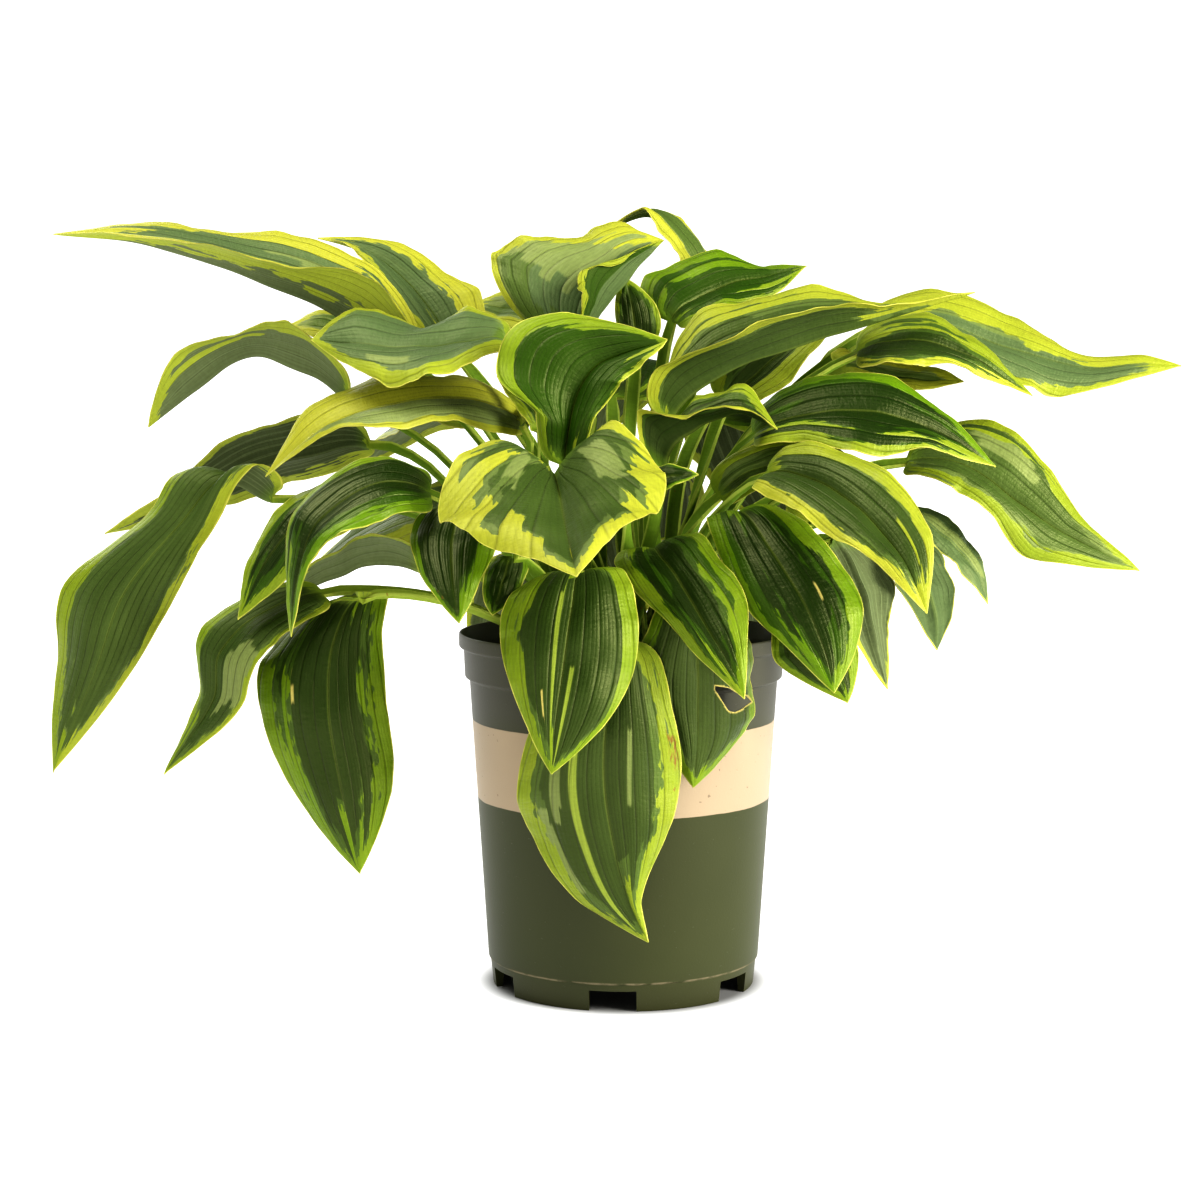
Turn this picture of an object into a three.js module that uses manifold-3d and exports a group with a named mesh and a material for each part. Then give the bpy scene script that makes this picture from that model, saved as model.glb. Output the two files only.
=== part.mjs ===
// A hosta in a round nursery pot: the pot, the potting soil and every leaf with its stalk.
// Millimetres, +Z up, origin at the centre of the pot's foot, -Y towards the viewer.
import * as THREE from "three";
import { mergeVertices } from "three/addons/utils/BufferGeometryUtils.js";
import Module from "manifold-3d";

const wasm = await Module();
wasm.setup();

// Pot, measured from the photograph on the scale of a 168 mm rim.
const POT_HEIGHT = 181;
const RIM_RADIUS = 84;
const WALL = 1.6;
const FOOT_RADIUS = 67;
const FOOT_RING_INNER = 63.6;
const FLOOR_BOTTOM = 10.6;
const FLOOR_TOP = 12.4;
const LEDGE_Z = 14.2;
const BODY_RADIUS_AT_LEDGE = 69.4;
const BODY_FLARE = 0.064;
const COLLAR_Z = 158;
const COLLAR_RADIUS = 81;
const COLLAR_TOP_RADIUS = 81.6;
const LIP_Z = 174;
const LIP_ROUND = 0.8;
const POT_SIDES = 48;
const NOTCH_COUNT = 6;
const NOTCH_FIRST_DEG = -5;
const NOTCH_WIDTH = 23.5;
const NOTCH_HEIGHT = 10.4;
const DRAIN_LENGTH = 14;
const DRAIN_DEPTH = 9;
const DRAIN_RADIUS = 56;

// Soil, a loose fill with one hole for the foot of each stalk.
const SOIL_EDGE_Z = 166;
const SOIL_MID_Z = 168;
const SOIL_GAP = 0.3;
const SOIL_SIDES = 24;
const HOLE_SIDES = 6;
const HOLE_RADIUS = 4.3;
const PEG_DEPTH = 12;
const CROWN_SPREAD = 5.6;
const CROWN_CHOICE = 16;
const GOLDEN_ANGLE = Math.PI * (3 - Math.sqrt(5));

// Leaf flesh.
const BLADE_THICK = 0.8;
const STALK_THICK = 2.4;
const STALK_HALF_WIDTH = 2.8;
const NECK_HALF_WIDTH = 2.6;
const STALK_CHANNEL = 1.3;
const TIP_HALF_WIDTH = 0.7;
const HALF_BULGE = 0.1;
const WAVE_HEIGHT = 0.05;
const WAVE_COUNT = 3;
const LOBE_SWEEP = 0.16;
const LOBE_END = 0.22;

// How finely a leaf is cut along and across. Both faces carry the same diagonals.
const STALK_CUTS = [0.3, 0.62, 0.86];
const BLADE_CUTS = [0, 0.05, 0.16, 0.3, 0.46, 0.62, 0.77, 0.9, 1];
const ACROSS = [-1, -0.5, 0, 0.5, 1];

// The eye that the leaf table is read from: 1.3 m in front of the pot and 0.33 m up.
const EYE = new THREE.Vector3(-12, -1300, 326);

const DEG = Math.PI / 180;
const vec = (x, y, z) => new THREE.Vector3(x, y, z);

// A table point [x, z, depth]: x and z are where its line of sight crosses the upright plane
// through the pot's axis, and depth is its real y.
function sighted([x, z, depth]) {
  const onPlane = vec(x, 0, z);
  return onPlane.lerp(EYE, depth / EYE.y);
}

// The same point moved along its line of sight, away from the eye when far is positive.
function alongSight(point, far) {
  const sight = point.clone().sub(EYE).normalize();
  return point.clone().addScaledVector(sight, far);
}

// Leaves, each as seen from the front: stalk points, neck, then for each station along the
// blade the midrib and its two margins, then the tip. A margin's third number is how much
// farther away than the midrib it lies. Margin a is on the left of the upper face when the
// tip points down, and margin b is on the right.
const LEAVES = [];
function leaf(name, stalk, neck, stations, tip) {
  LEAVES.push({ name, stalk, neck, stations, tip });
}

// Left side of the plant.
leaf("leaf_left_long", [[-62, 262, 6]], [-104, 312, 2], [
  [[-138, 339, 0], [-132, 371, 18], [-127, 358, -26]],
  [[-190, 361, 0], [-188, 383, 28], [-190, 371, -30]],
  [[-240, 377, 0], [-240, 387, 20], [-243, 381, -18]],
], [-287, 382, 2]);
leaf("leaf_left_behind", [[-45, 270, 40]], [-84, 322, 48], [
  [[-97, 343, 56], [-73, 352, 8], [-114, 346, -10]],
  [[-110, 359, 62], [-90, 363, 10], [-127, 364, -10]],
  [[-130, 373, 66], [-118, 379, 8], [-138, 376, -6]],
], [-154, 380, 68]);
leaf("leaf_left_arch", [[-88, 266, 4]], [-138, 300, 8], [
  [[-160, 313, 8], [-160, 327, 24], [-163, 335, -24]],
  [[-190, 321, 8], [-190, 326, 28], [-194, 334, -26]],
  [[-218, 303, 8], [-222, 308, 20], [-232, 316, -16]],
], [-241, 285, 8]);
leaf("leaf_left_small", [[-70, 285, 40]], [-112, 318, 50], [
  [[-138, 331, 54], [-136, 340, 16], [-138, 326, -14]],
  [[-156, 336, 56], [-156, 343, 12], [-156, 331, -10]],
], [-173, 334, 58]);
leaf("leaf_left_face", [[-38, 285, -48]], [-60, 328, -40], [
  [[-80, 327, -44], [-75, 344, 20], [-78, 319, -22]],
  [[-110, 325, -48], [-106, 336, 28], [-110, 307, -24]],
  [[-136, 327, -44], [-136, 346, 18], [-134, 313, -14]],
], [-158, 329, -36]);
leaf("leaf_left_yellow", [[-47, 262, -62]], [-50, 287, -72], [
  [[-74, 299, -70], [-78, 309, 22], [-76, 287, -22]],
  [[-110, 298, -68], [-112, 311, 28], [-108, 286, -24]],
  [[-150, 285, -62], [-156, 298, 18], [-150, 282, -18]],
], [-182, 260, -54]);
leaf("leaf_left_dark", [[-96, 262, 18]], [-128, 277, 26], [
  [[-158, 271, 30], [-152, 262, 22], [-164, 290, -16]],
  [[-190, 263, 32], [-183, 252, 24], [-197, 280, -16]],
  [[-232, 244, 32], [-228, 238, 10], [-238, 248, -8]],
], [-264, 231, 32]);
leaf("leaf_left_droop", [[-95, 236, -24]], [-178, 250, -28], [
  [[-204, 258, -34], [-222, 265, 12], [-190, 266, -10]],
  [[-225, 236, -39], [-242, 241, 12], [-209, 233, 2]],
  [[-255, 200, -43], [-285, 205, 16], [-228, 200, 10]],
  [[-270, 160, -42], [-290, 165, 14], [-250, 162, 10]],
], [-293, 108, -34]);
leaf("leaf_left_under", [[-78, 225, -44]], [-124, 250, -50], [
  [[-158, 242, -62], [-168, 250, 12], [-152, 226, -12]],
  [[-180, 220, -70], [-189, 222, 10], [-168, 211, -8]],
], [-197, 187, -74]);
leaf("leaf_left_gloss", [[-60, 222, -66]], [-98, 252, -80], [
  [[-124, 257, -92], [-121, 270, 22], [-120, 239, -16]],
  [[-154, 238, -104], [-165, 246, 12], [-148, 228, -12]],
  [[-165, 213, -110], [-172, 212, 8], [-160, 215, -6]],
], [-170, 178, -114]);
leaf("leaf_left_grey", [[-66, 205, -6]], [-102, 214, -4], [
  [[-126, 216, 0], [-126, 225, 22], [-126, 230, -18]],
  [[-152, 207, 2], [-152, 213, 18], [-153, 219, -14]],
], [-183, 194, 6]);
leaf("leaf_left_twist", [[-85, 196, -26]], [-154, 201, -34], [
  [[-183, 191, -44], [-192, 199, 14], [-170, 181, -10]],
  [[-206, 170, -52], [-218, 176, 10], [-186, 168, -14]],
  [[-210, 145, -54], [-218, 146, 6], [-196, 142, -8]],
], [-236, 107, -50]);
leaf("leaf_left_hanging", [[-84, 194, -52]], [-134, 198, -62], [
  [[-148, 175, -72], [-180, 172, 14], [-124, 180, 10]],
  [[-151, 140, -80], [-187, 144, 14], [-121, 143, 10]],
  [[-144, 95, -82], [-168, 95, 10], [-119, 98, 8]],
], [-136, 55, -78]);
leaf("leaf_left_inner", [[-58, 220, -78]], [-80, 243, -92], [
  [[-87, 229, -108], [-108, 232, 8], [-63, 229, 10]],
  [[-87, 208, -124], [-102, 208, 4], [-73, 207, 5]],
], [-84, 185, -134]);
leaf("leaf_left_torn", [[-40, 205, -76]], [-56, 219, -88], [
  [[-61, 208, -96], [-71, 208, 4], [-50, 210, 4]],
  [[-64, 198, -102], [-71, 196, 2], [-56, 197, 3]],
], [-67, 189, -104]);

// Front of the plant, from the top down.
leaf("leaf_front_heart", [[-22, 222, -78]], [-35, 261, -96], [
  [[-34, 257, -104], [-63, 284, 12], [-9, 289, 12]],
  [[-32, 248, -126], [-93, 250, 8], [19, 263, 10]],
  [[-29, 232, -156], [-78, 230, 6], [13, 241, 8]],
  [[-26, 218, -178], [-44, 217, 4], [-11, 225, 4]],
], [-24, 209, -190]);
leaf("leaf_front_funnel", [[-28, 235, -66]], [-30, 266, -78], [
  [[-28, 283, -80], [-16, 289, -6], [-44, 293, -8]],
  [[-24, 300, -77], [-4, 304, -8], [-64, 312, -4]],
  [[-18, 311, -75], [0, 309, -10], [-55, 336, 2]],
  [[-10, 318, -74], [6, 314, -10], [-29, 342, 6]],
], [22, 329, -78]);
leaf("leaf_front_bud", [[-40, 250, -56]], [-42, 284, -64], [
  [[-48, 296, -68], [-40, 302, 5], [-54, 295, -5]],
], [-64, 311, -70]);
leaf("leaf_front_centre", [[-16, 192, -84]], [-23, 211, -98], [
  [[-27, 190, -116], [-62, 189, 10], [6, 194, 10]],
  [[-31, 162, -126], [-60, 161, 8], [5, 161, 8]],
  [[-35, 132, -132], [-49, 131, 4], [-11, 131, 4]],
], [-37, 107, -134]);
leaf("leaf_front_low", [[-4, 192, -84]], [-5, 176, -104], [
  [[-8, 146, -110], [-44, 138, 12], [24, 142, 10]],
  [[-10, 105, -108], [-54, 96, 16], [29, 104, 12]],
  [[-4, 65, -102], [-42, 66, 12], [20, 70, 8]],
  [[4, 39, -97], [-20, 38, 6], [9, 40, 3]],
], [13, 19, -93]);
leaf("leaf_front_right", [[10, 205, -68]], [15, 223, -82], [
  [[19, 219, -92], [-4, 219, 6], [38, 231, 6]],
  [[28, 207, -104], [2, 206, 8], [48, 219, 8]],
  [[43, 182, -122], [24, 184, 6], [63, 195, 8]],
  [[55, 162, -132], [43, 163, 3], [63, 171, 4]],
], [62, 146, -136]);
leaf("leaf_front_bitten", [[30, 190, -78]], [40, 198, -92], [
  [[38, 176, -98], [12, 180, 2], [62, 180, 16]],
  [[38, 146, -94], [8, 152, 2], [66, 152, 24]],
  [[38, 121, -89], [22, 121, 3], [62, 128, 18]],
], [36, 100, -87]);
leaf("leaf_front_small", [[2, 232, -82]], [4, 250, -92], [
  [[20, 259, -98], [22, 254, -4], [22, 266, 4]],
], [38, 261, -102]);
leaf("leaf_front_vee", [[15, 232, -58]], [20, 262, -64], [
  [[25, 276, -66], [8, 292, -12], [28, 292, 12]],
  [[40, 287, -66], [32, 291, -18], [42, 301, 14]],
  [[60, 292, -68], [60, 295, -14], [62, 306, 12]],
], [78, 284, -74]);

// Right side of the plant.
leaf("leaf_right_drop", [[38, 215, -58]], [58, 242, -74], [
  [[75, 222, -96], [50, 219, 10], [98, 230, 12]],
  [[92, 195, -112], [65, 191, 8], [121, 197, 12]],
  [[103, 170, -120], [86, 170, 4], [119, 172, 6]],
], [108, 149, -124]);
leaf("leaf_right_lobe", [[44, 235, -62]], [72, 261, -82], [
  [[94, 259, -98], [80, 248, -12], [98, 276, 14]],
  [[120, 243, -120], [104, 231, -8], [134, 261, 10]],
  [[142, 218, -138], [131, 214, -4], [157, 229, 6]],
], [155, 190, -148]);
leaf("leaf_right_tucked", [[42, 198, -66]], [74, 205, -82], [
  [[92, 188, -92], [76, 182, 4], [112, 196, 6]],
  [[98, 168, -96], [78, 165, 4], [120, 170, 6]],
], [115, 144, -98]);
leaf("leaf_right_grey", [[60, 210, -40]], [106, 226, -52], [
  [[121, 206, -58], [138, 205, 8], [108, 202, -6]],
  [[127, 183, -60], [135, 184, 5], [116, 181, -4]],
], [135, 151, -60]);
leaf("leaf_right_pale", [[80, 220, -28]], [140, 228, -40], [
  [[153, 206, -46], [168, 206, 8], [139, 206, -8]],
  [[159, 189, -48], [168, 191, 4], [150, 187, -4]],
], [160, 171, -48]);
leaf("leaf_right_narrow", [[85, 230, -12]], [144, 240, -22], [
  [[164, 228, -26], [162, 222, -10], [168, 235, 12]],
  [[179, 212, -28], [175, 208, -6], [183, 216, 8]],
], [186, 195, -28]);
leaf("leaf_right_broad", [[38, 240, -40]], [66, 281, -42], [
  [[92, 291, -48], [90, 279, -12], [88, 307, 20]],
  [[125, 293, -52], [125, 271, -20], [123, 313, 22]],
  [[158, 283, -48], [155, 274, -14], [158, 297, 12]],
], [189, 265, -42]);
leaf("leaf_right_shade", [[28, 222, -52]], [48, 250, -56], [
  [[66, 263, -60], [74, 256, -14], [58, 273, 6]],
  [[92, 268, -64], [94, 257, -12], [97, 279, 12]],
], [124, 262, -66]);
leaf("leaf_right_far", [[75, 245, -8]], [144, 268, -10], [
  [[172, 266, -14], [164, 256, -16], [180, 289, 18]],
  [[200, 247, -18], [184, 243, -12], [213, 269, 14]],
  [[222, 232, -20], [205, 219, -8], [233, 238, 8]],
], [263, 212, -18]);
leaf("leaf_right_long", [[14, 250, -20]], [21, 288, -28], [
  [[35, 303, -28], [18, 318, -16], [30, 333, 18]],
  [[62, 318, -24], [55, 330, -26], [55, 349, 18]],
  [[100, 330, -18], [100, 347, -20], [100, 354, 18]],
  [[130, 339, -12], [130, 345, -8], [132, 348, 8]],
], [177, 353, -4]);
leaf("leaf_right_fold", [[62, 280, -2]], [118, 323, -4], [
  [[142, 329, -6], [138, 317, -22], [142, 342, 22]],
  [[170, 323, -6], [168, 316, -16], [171, 334, 16]],
], [207, 301, -4]);
leaf("leaf_right_reach", [[64, 280, 18]], [128, 334, 26], [
  [[155, 338, 28], [160, 322, -20], [150, 354, 22]],
  [[195, 325, 28], [205, 305, -16], [197, 341, 20]],
  [[235, 315, 26], [226, 301, -10], [230, 322, 12]],
  [[262, 317, 24], [257, 309, -4], [263, 321, 5]],
], [282, 316, 24]);
leaf("leaf_right_curled", [[66, 268, 4]], [110, 314, 8], [
  [[133, 311, 10], [139, 304, -8], [122, 321, 8]],
  [[154, 309, 10], [152, 304, -6], [158, 315, 6]],
], [172, 308, 10]);
leaf("leaf_right_behind", [[40, 262, 10]], [52, 297, 12], [
  [[69, 313, 14], [81, 306, -8], [55, 326, 10]],
  [[89, 330, 16], [97, 325, -6], [76, 340, 8]],
], [113, 345, 18]);
leaf("leaf_right_sliver", [[70, 266, 30]], [96, 294, 36], [
  [[112, 320, 38], [122, 318, -5], [103, 322, 6]],
], [129, 338, 42]);

// Top of the plant.
leaf("leaf_top_left", [[-14, 262, -18]], [-18, 322, -20], [
  [[-12, 342, -12], [-20, 350, -20], [-67, 374, 14]],
  [[1, 358, -2], [-22, 361, -22], [-30, 381, 14]],
  [[11, 370, 8], [0, 370, -16], [-1, 387, 12]],
], [20, 379, 18]);
leaf("leaf_top_crest", [[24, 270, 42]], [42, 350, 58], [
  [[31, 374, 62], [38, 379, 20], [23, 377, -12]],
  [[14, 391, 64], [16, 395, 18], [9, 394, -12]],
], [-9, 384, 62]);
leaf("leaf_top_right", [[14, 262, 8]], [24, 338, 8], [
  [[37, 350, 18], [46, 343, -16], [13, 362, 12]],
  [[54, 357, 26], [60, 347, -16], [45, 373, 14]],
  [[73, 361, 30], [75, 351, -8], [71, 366, 10]],
], [92, 366, 30]);
leaf("leaf_top_small", [[2, 270, -4]], [6, 322, -6], [
  [[5, 340, -6], [17, 344, 4], [-4, 347, 4]],
], [1, 360, -4]);
leaf("leaf_top_back", [[-24, 262, 26]], [-34, 326, 40], [
  [[-47, 342, 56], [-41, 353, 12], [-52, 332, -10]],
  [[-62, 345, 70], [-59, 353, 10], [-66, 336, -8]],
], [-77, 347, 82]);

// Back of the plant, which the photograph does not show.
leaf("leaf_back_centre", [[-4, 262, 40]], [-6, 300, 64], [
  [[-8, 318, 96], [30, 312, 8], [-46, 312, 8]],
  [[-10, 316, 136], [26, 306, 6], [-46, 306, 6]],
  [[-12, 300, 166], [8, 294, 4], [-32, 294, 4]],
], [-14, 278, 184]);
leaf("leaf_back_right", [[28, 256, 40]], [42, 290, 64], [
  [[54, 297, 92], [90, 284, -16], [22, 296, 16]],
  [[65, 280, 122], [100, 264, -14], [34, 274, 14]],
  [[73, 255, 143], [95, 248, -6], [50, 250, 6]],
], [79, 230, 156]);
leaf("leaf_back_left", [[-40, 262, 44]], [-58, 290, 66], [
  [[-76, 298, 94], [-50, 296, 22], [-104, 288, -20]],
  [[-98, 292, 122], [-74, 290, 16], [-124, 278, -16]],
  [[-118, 278, 142], [-104, 278, 8], [-132, 268, -8]],
], [-138, 262, 156]);
leaf("leaf_back_left_low", [[-44, 220, 40]], [-78, 246, 62], [
  [[-104, 246, 84], [-92, 256, 18], [-112, 226, -16]],
  [[-134, 232, 100], [-124, 242, 14], [-144, 214, -12]],
], [-168, 206, 108]);
leaf("leaf_back_right_low", [[46, 222, 40]], [80, 250, 60], [
  [[106, 250, 84], [114, 230, -16], [96, 262, 18]],
  [[134, 236, 104], [142, 218, -12], [126, 248, 14]],
], [160, 206, 114]);
leaf("leaf_back_hang_left", [[-22, 205, 56]], [-34, 226, 84], [
  [[-44, 208, 120], [-10, 206, 8], [-76, 206, 8]],
  [[-50, 172, 146], [-22, 170, 4], [-78, 172, 4]],
  [[-52, 138, 158], [-36, 138, 2], [-66, 138, 2]],
], [-52, 108, 162]);
leaf("leaf_back_hang_right", [[24, 208, 56]], [36, 230, 82], [
  [[46, 214, 120], [78, 208, 4], [14, 210, 8]],
  [[52, 178, 150], [80, 172, 2], [24, 176, 4]],
  [[54, 142, 166], [70, 140, 2], [38, 142, 2]],
], [54, 110, 172]);
leaf("leaf_back_far", [[4, 225, 60]], [6, 262, 92], [
  [[6, 262, 128], [40, 254, 6], [-28, 254, 6]],
  [[6, 240, 158], [38, 232, 4], [-26, 232, 4]],
  [[6, 212, 178], [22, 208, 2], [-10, 208, 2]],
], [6, 184, 189]);

// A smooth curve through values at rising knots. Outside the knots it keeps the end value.
function through(values, knots, at) {
  const last = knots.length - 1;
  if (at <= knots[0]) return values[0].clone();
  if (at >= knots[last]) return values[last].clone();
  let i = 0;
  while (at > knots[i + 1]) i += 1;
  const slope = (k) => {
    const before = Math.max(k - 1, 0);
    const after = Math.min(k + 1, last);
    return values[after].clone().sub(values[before]).divideScalar(knots[after] - knots[before]);
  };
  const span = knots[i + 1] - knots[i];
  const u = (at - knots[i]) / span;
  const u2 = u * u;
  const u3 = u2 * u;
  return values[i].clone().multiplyScalar(2 * u3 - 3 * u2 + 1)
    .addScaledVector(slope(i), (u3 - 2 * u2 + u) * span)
    .addScaledVector(values[i + 1], 3 * u2 - 2 * u3)
    .addScaledVector(slope(i + 1), (u3 - u2) * span);
}

// Share of the full half width at s along the blade: round at the base, drawn out at the tip.
function outline(s) {
  const base = Math.sqrt(1 - (1 - s) ** 6);
  return (base * (1 - s ** 2.6)) / 0.905;
}

const smooth = (t) => {
  const u = Math.min(Math.max(t, 0), 1);
  return u * u * (3 - 2 * u);
};

// Where the stalks stand: on a spiral, the lowest leaves on the outside of the crown. Each
// leaf takes, of the outermost free places, the one that lies most in its own direction.
function standStalks(leaves) {
  const places = leaves.map((_, i) => {
    const radius = CROWN_SPREAD * Math.sqrt(i + 0.5);
    return vec(radius * Math.cos(i * GOLDEN_ANGLE), radius * Math.sin(i * GOLDEN_ANGLE), 0);
  });
  places.reverse();
  const lowFirst = [...leaves].sort((p, q) => sighted(p.neck).z - sighted(q.neck).z);
  for (const one of lowFirst) {
    const toward = sighted(one.neck).setZ(0).normalize();
    const choice = places.slice(0, CROWN_CHOICE);
    choice.sort((p, q) => q.dot(toward) - p.dot(toward));
    one.foot = choice[0];
    places.splice(places.indexOf(one.foot), 1);
  }
}

// The midrib of a leaf from the foot of its stalk to its tip, with the knots along it.
function ribOf(one) {
  const soil = SOIL_MID_Z;
  const foot = one.foot;
  const points = [
    vec(foot.x, foot.y, soil - PEG_DEPTH),
    vec(foot.x, foot.y, soil + 2),
    ...one.stalk.map(sighted),
    sighted(one.neck),
    ...one.stations.map(([rib]) => sighted(rib)),
    sighted(one.tip),
  ];
  const knots = [0];
  for (let i = 1; i < points.length; i += 1) {
    knots.push(knots[i - 1] + points[i].distanceTo(points[i - 1]));
  }
  return { points, knots, neckAt: knots[2 + one.stalk.length] };
}

// The upper face of a leaf as rows of points from foot to tip, and how thick each row is.
function faceOf(one, stalkCuts, bladeCuts, across) {
  const { points, knots, neckAt } = ribOf(one);
  const end = knots[knots.length - 1];
  const bladeLong = end - neckAt;
  const rib = (t) => through(points, knots, t);
  const along = (t) => rib(Math.min(t + 1, end)).sub(rib(Math.max(t - 1, 0))).normalize();

  const shares = one.stations.map((_, i) => {
    const knot = knots[3 + one.stalk.length + i];
    return (knot - neckAt) / bladeLong;
  });
  const margin = (which) => one.stations.map((station, i) => {
    const [x, z, farther] = station[which];
    const middle = sighted(station[0]);
    const edge = sighted([x, z, station[0][2] + farther]);
    return edge.sub(middle).divideScalar(outline(shares[i]));
  });
  const marginA = margin(1);
  const marginB = margin(2);
  const halfWidth = Math.max(...marginA.map((m) => m.length()), ...marginB.map((m) => m.length()));

  const outward = sighted(one.neck).sub(one.foot).setZ(0).normalize();
  const stalkSide = vec(0, 0, 1).cross(outward);
  const neckAlong = along(neckAt);
  const neckSide = marginB[0].clone().sub(marginA[0]);
  neckSide.addScaledVector(neckAlong, -neckSide.dot(neckAlong)).normalize();

  const rows = [];
  const thick = [];
  const soilAt = knots[1];
  const stations = [
    { at: 0, s: -1 },
    { at: soilAt, s: -1 },
    ...stalkCuts.map((c) => ({ at: soilAt + (neckAt - soilAt) * c, s: -1 })),
    ...bladeCuts.map((s) => ({ at: neckAt + bladeLong * s, s })),
  ];
  for (const { at, s } of stations) {
    const middle = rib(at);
    const direction = at <= soilAt ? vec(0, 0, 1) : along(at);
    const climb = Math.min(Math.max((at - soilAt) / (neckAt - soilAt), 0), 1);
    const side = stalkSide.clone().lerp(neckSide, smooth(climb * climb));
    side.addScaledVector(direction, -side.dot(direction)).normalize();
    const up = direction.clone().cross(side);
    if (s < 0) {
      const half = STALK_HALF_WIDTH + (NECK_HALF_WIDTH - STALK_HALF_WIDTH) * climb;
      rows.push(across.map((v) => middle.clone()
        .addScaledVector(side, half * v)
        .addScaledVector(up, STALK_CHANNEL * (v * v - 0.5) + STALK_THICK / 2)));
      thick.push(STALK_THICK);
      continue;
    }
    const width = outline(s);
    const stem = NECK_HALF_WIDTH * (1 - smooth(s / 0.16));
    const a = through(marginA, shares, s).multiplyScalar(width);
    const b = through(marginB, shares, s).multiplyScalar(width);
    const upper = direction.clone().cross(b.clone().sub(a));
    if (upper.lengthSq() < 1e-6) upper.copy(up);
    upper.normalize();
    const lobe = LOBE_SWEEP * halfWidth * (1 - smooth(s / LOBE_END));
    const wave = WAVE_HEIGHT * halfWidth * Math.sin(2 * Math.PI * (WAVE_COUNT * s + one.phase));
    rows.push(across.map((v) => {
      const size = Math.abs(v);
      const point = middle.clone().addScaledVector(v < 0 ? a : b, size);
      point.addScaledVector(side, v * Math.max(stem, TIP_HALF_WIDTH));
      point.addScaledVector(upper, 4 * HALF_BULGE * halfWidth * width * size * (1 - size));
      point.addScaledVector(upper, wave * width * size ** 3 * (v < 0 ? 1 : -1));
      point.addScaledVector(neckAlong, -lobe * width * size ** 2);
      return point;
    }));
    thick.push(BLADE_THICK + (STALK_THICK - BLADE_THICK) * (1 - smooth(s / 0.14)));
  }
  return { rows, thick };
}

// One closed body from the rows of an upper face: a lower face under it and both ends closed.
function leafGeometry({ rows, thick }) {
  const wide = rows[0].length;
  const lowest = rows.length - 1;
  const loop = 2 * wide;
  const positions = [];
  rows.forEach((row, k) => {
    const before = rows[Math.max(k - 1, 0)];
    const after = rows[Math.min(k + 1, lowest)];
    const under = row.map((point, j) => {
      const alongRow = after[j].clone().sub(before[j]);
      const acrossRow = row[Math.min(j + 1, wide - 1)].clone().sub(row[Math.max(j - 1, 0)]);
      const normal = alongRow.cross(acrossRow).normalize();
      return point.clone().addScaledVector(normal, -thick[k]);
    });
    for (const point of row) positions.push(point.x, point.y, point.z);
    for (const point of under) positions.push(point.x, point.y, point.z);
  });
  const index = [];
  const quad = (a, b, c, d) => index.push(a, b, c, a, c, d);
  for (let k = 0; k < lowest; k += 1) {
    const here = k * loop;
    const next = here + loop;
    for (let j = 0; j + 1 < wide; j += 1) {
      quad(here + j, next + j, next + j + 1, here + j + 1);
      const low = here + wide + j;
      const lowNext = next + wide + j;
      index.push(low, lowNext + 1, lowNext, low, low + 1, lowNext + 1);
    }
    quad(here, here + wide, next + wide, next);
    quad(here + wide - 1, next + wide - 1, next + loop - 1, here + loop - 1);
  }
  for (let j = 0; j + 1 < wide; j += 1) {
    quad(j, j + 1, wide + j + 1, wide + j);
    const tip = lowest * loop;
    quad(tip + j, tip + wide + j, tip + wide + j + 1, tip + j + 1);
  }
  const geometry = new THREE.BufferGeometry();
  geometry.setAttribute("position", new THREE.Float32BufferAttribute(positions, 3));
  geometry.setIndex(index);
  return geometry;
}

// Leaves make room for one another. Where two cross as seen from the front, the one that is
// mostly nearer there is drawn nearer and the other pushed farther, each along its own lines
// of sight, row by row, so the picture from the front stays as the table gives it.
const NECK_ROW = 2 + STALK_CUTS.length;
const LAYERS = 5;
const STALK = 0;
const BLADE = 1;
const STALK_FAR_FROM_NECK = 2;
const BLADE_FAR_FROM_NECK = 3;
const OUTSIDE_POT = 4;
const CELL = 2.5;
const ROOM_ROUNDS = 160;
const SPARE = 1.3;

// The outside of the pot as rows of points, a fixed thing that the leaves keep clear of.
function potFace() {
  const rings = [[0, FOOT_RADIUS], [COLLAR_Z, bodyRadius(COLLAR_Z)], [COLLAR_Z + 1, RIM_RADIUS], [POT_HEIGHT, RIM_RADIUS]];
  const rows = rings.map(([z, radius]) => {
    const row = [];
    for (let i = 0; i <= POT_SIDES; i += 1) {
      const turn = (i * 2 * Math.PI) / POT_SIDES;
      row.push(vec(radius * Math.cos(turn), radius * Math.sin(turn), z));
    }
    return row;
  });
  return { rows, thick: rows.map(() => WALL) };
}

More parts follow.
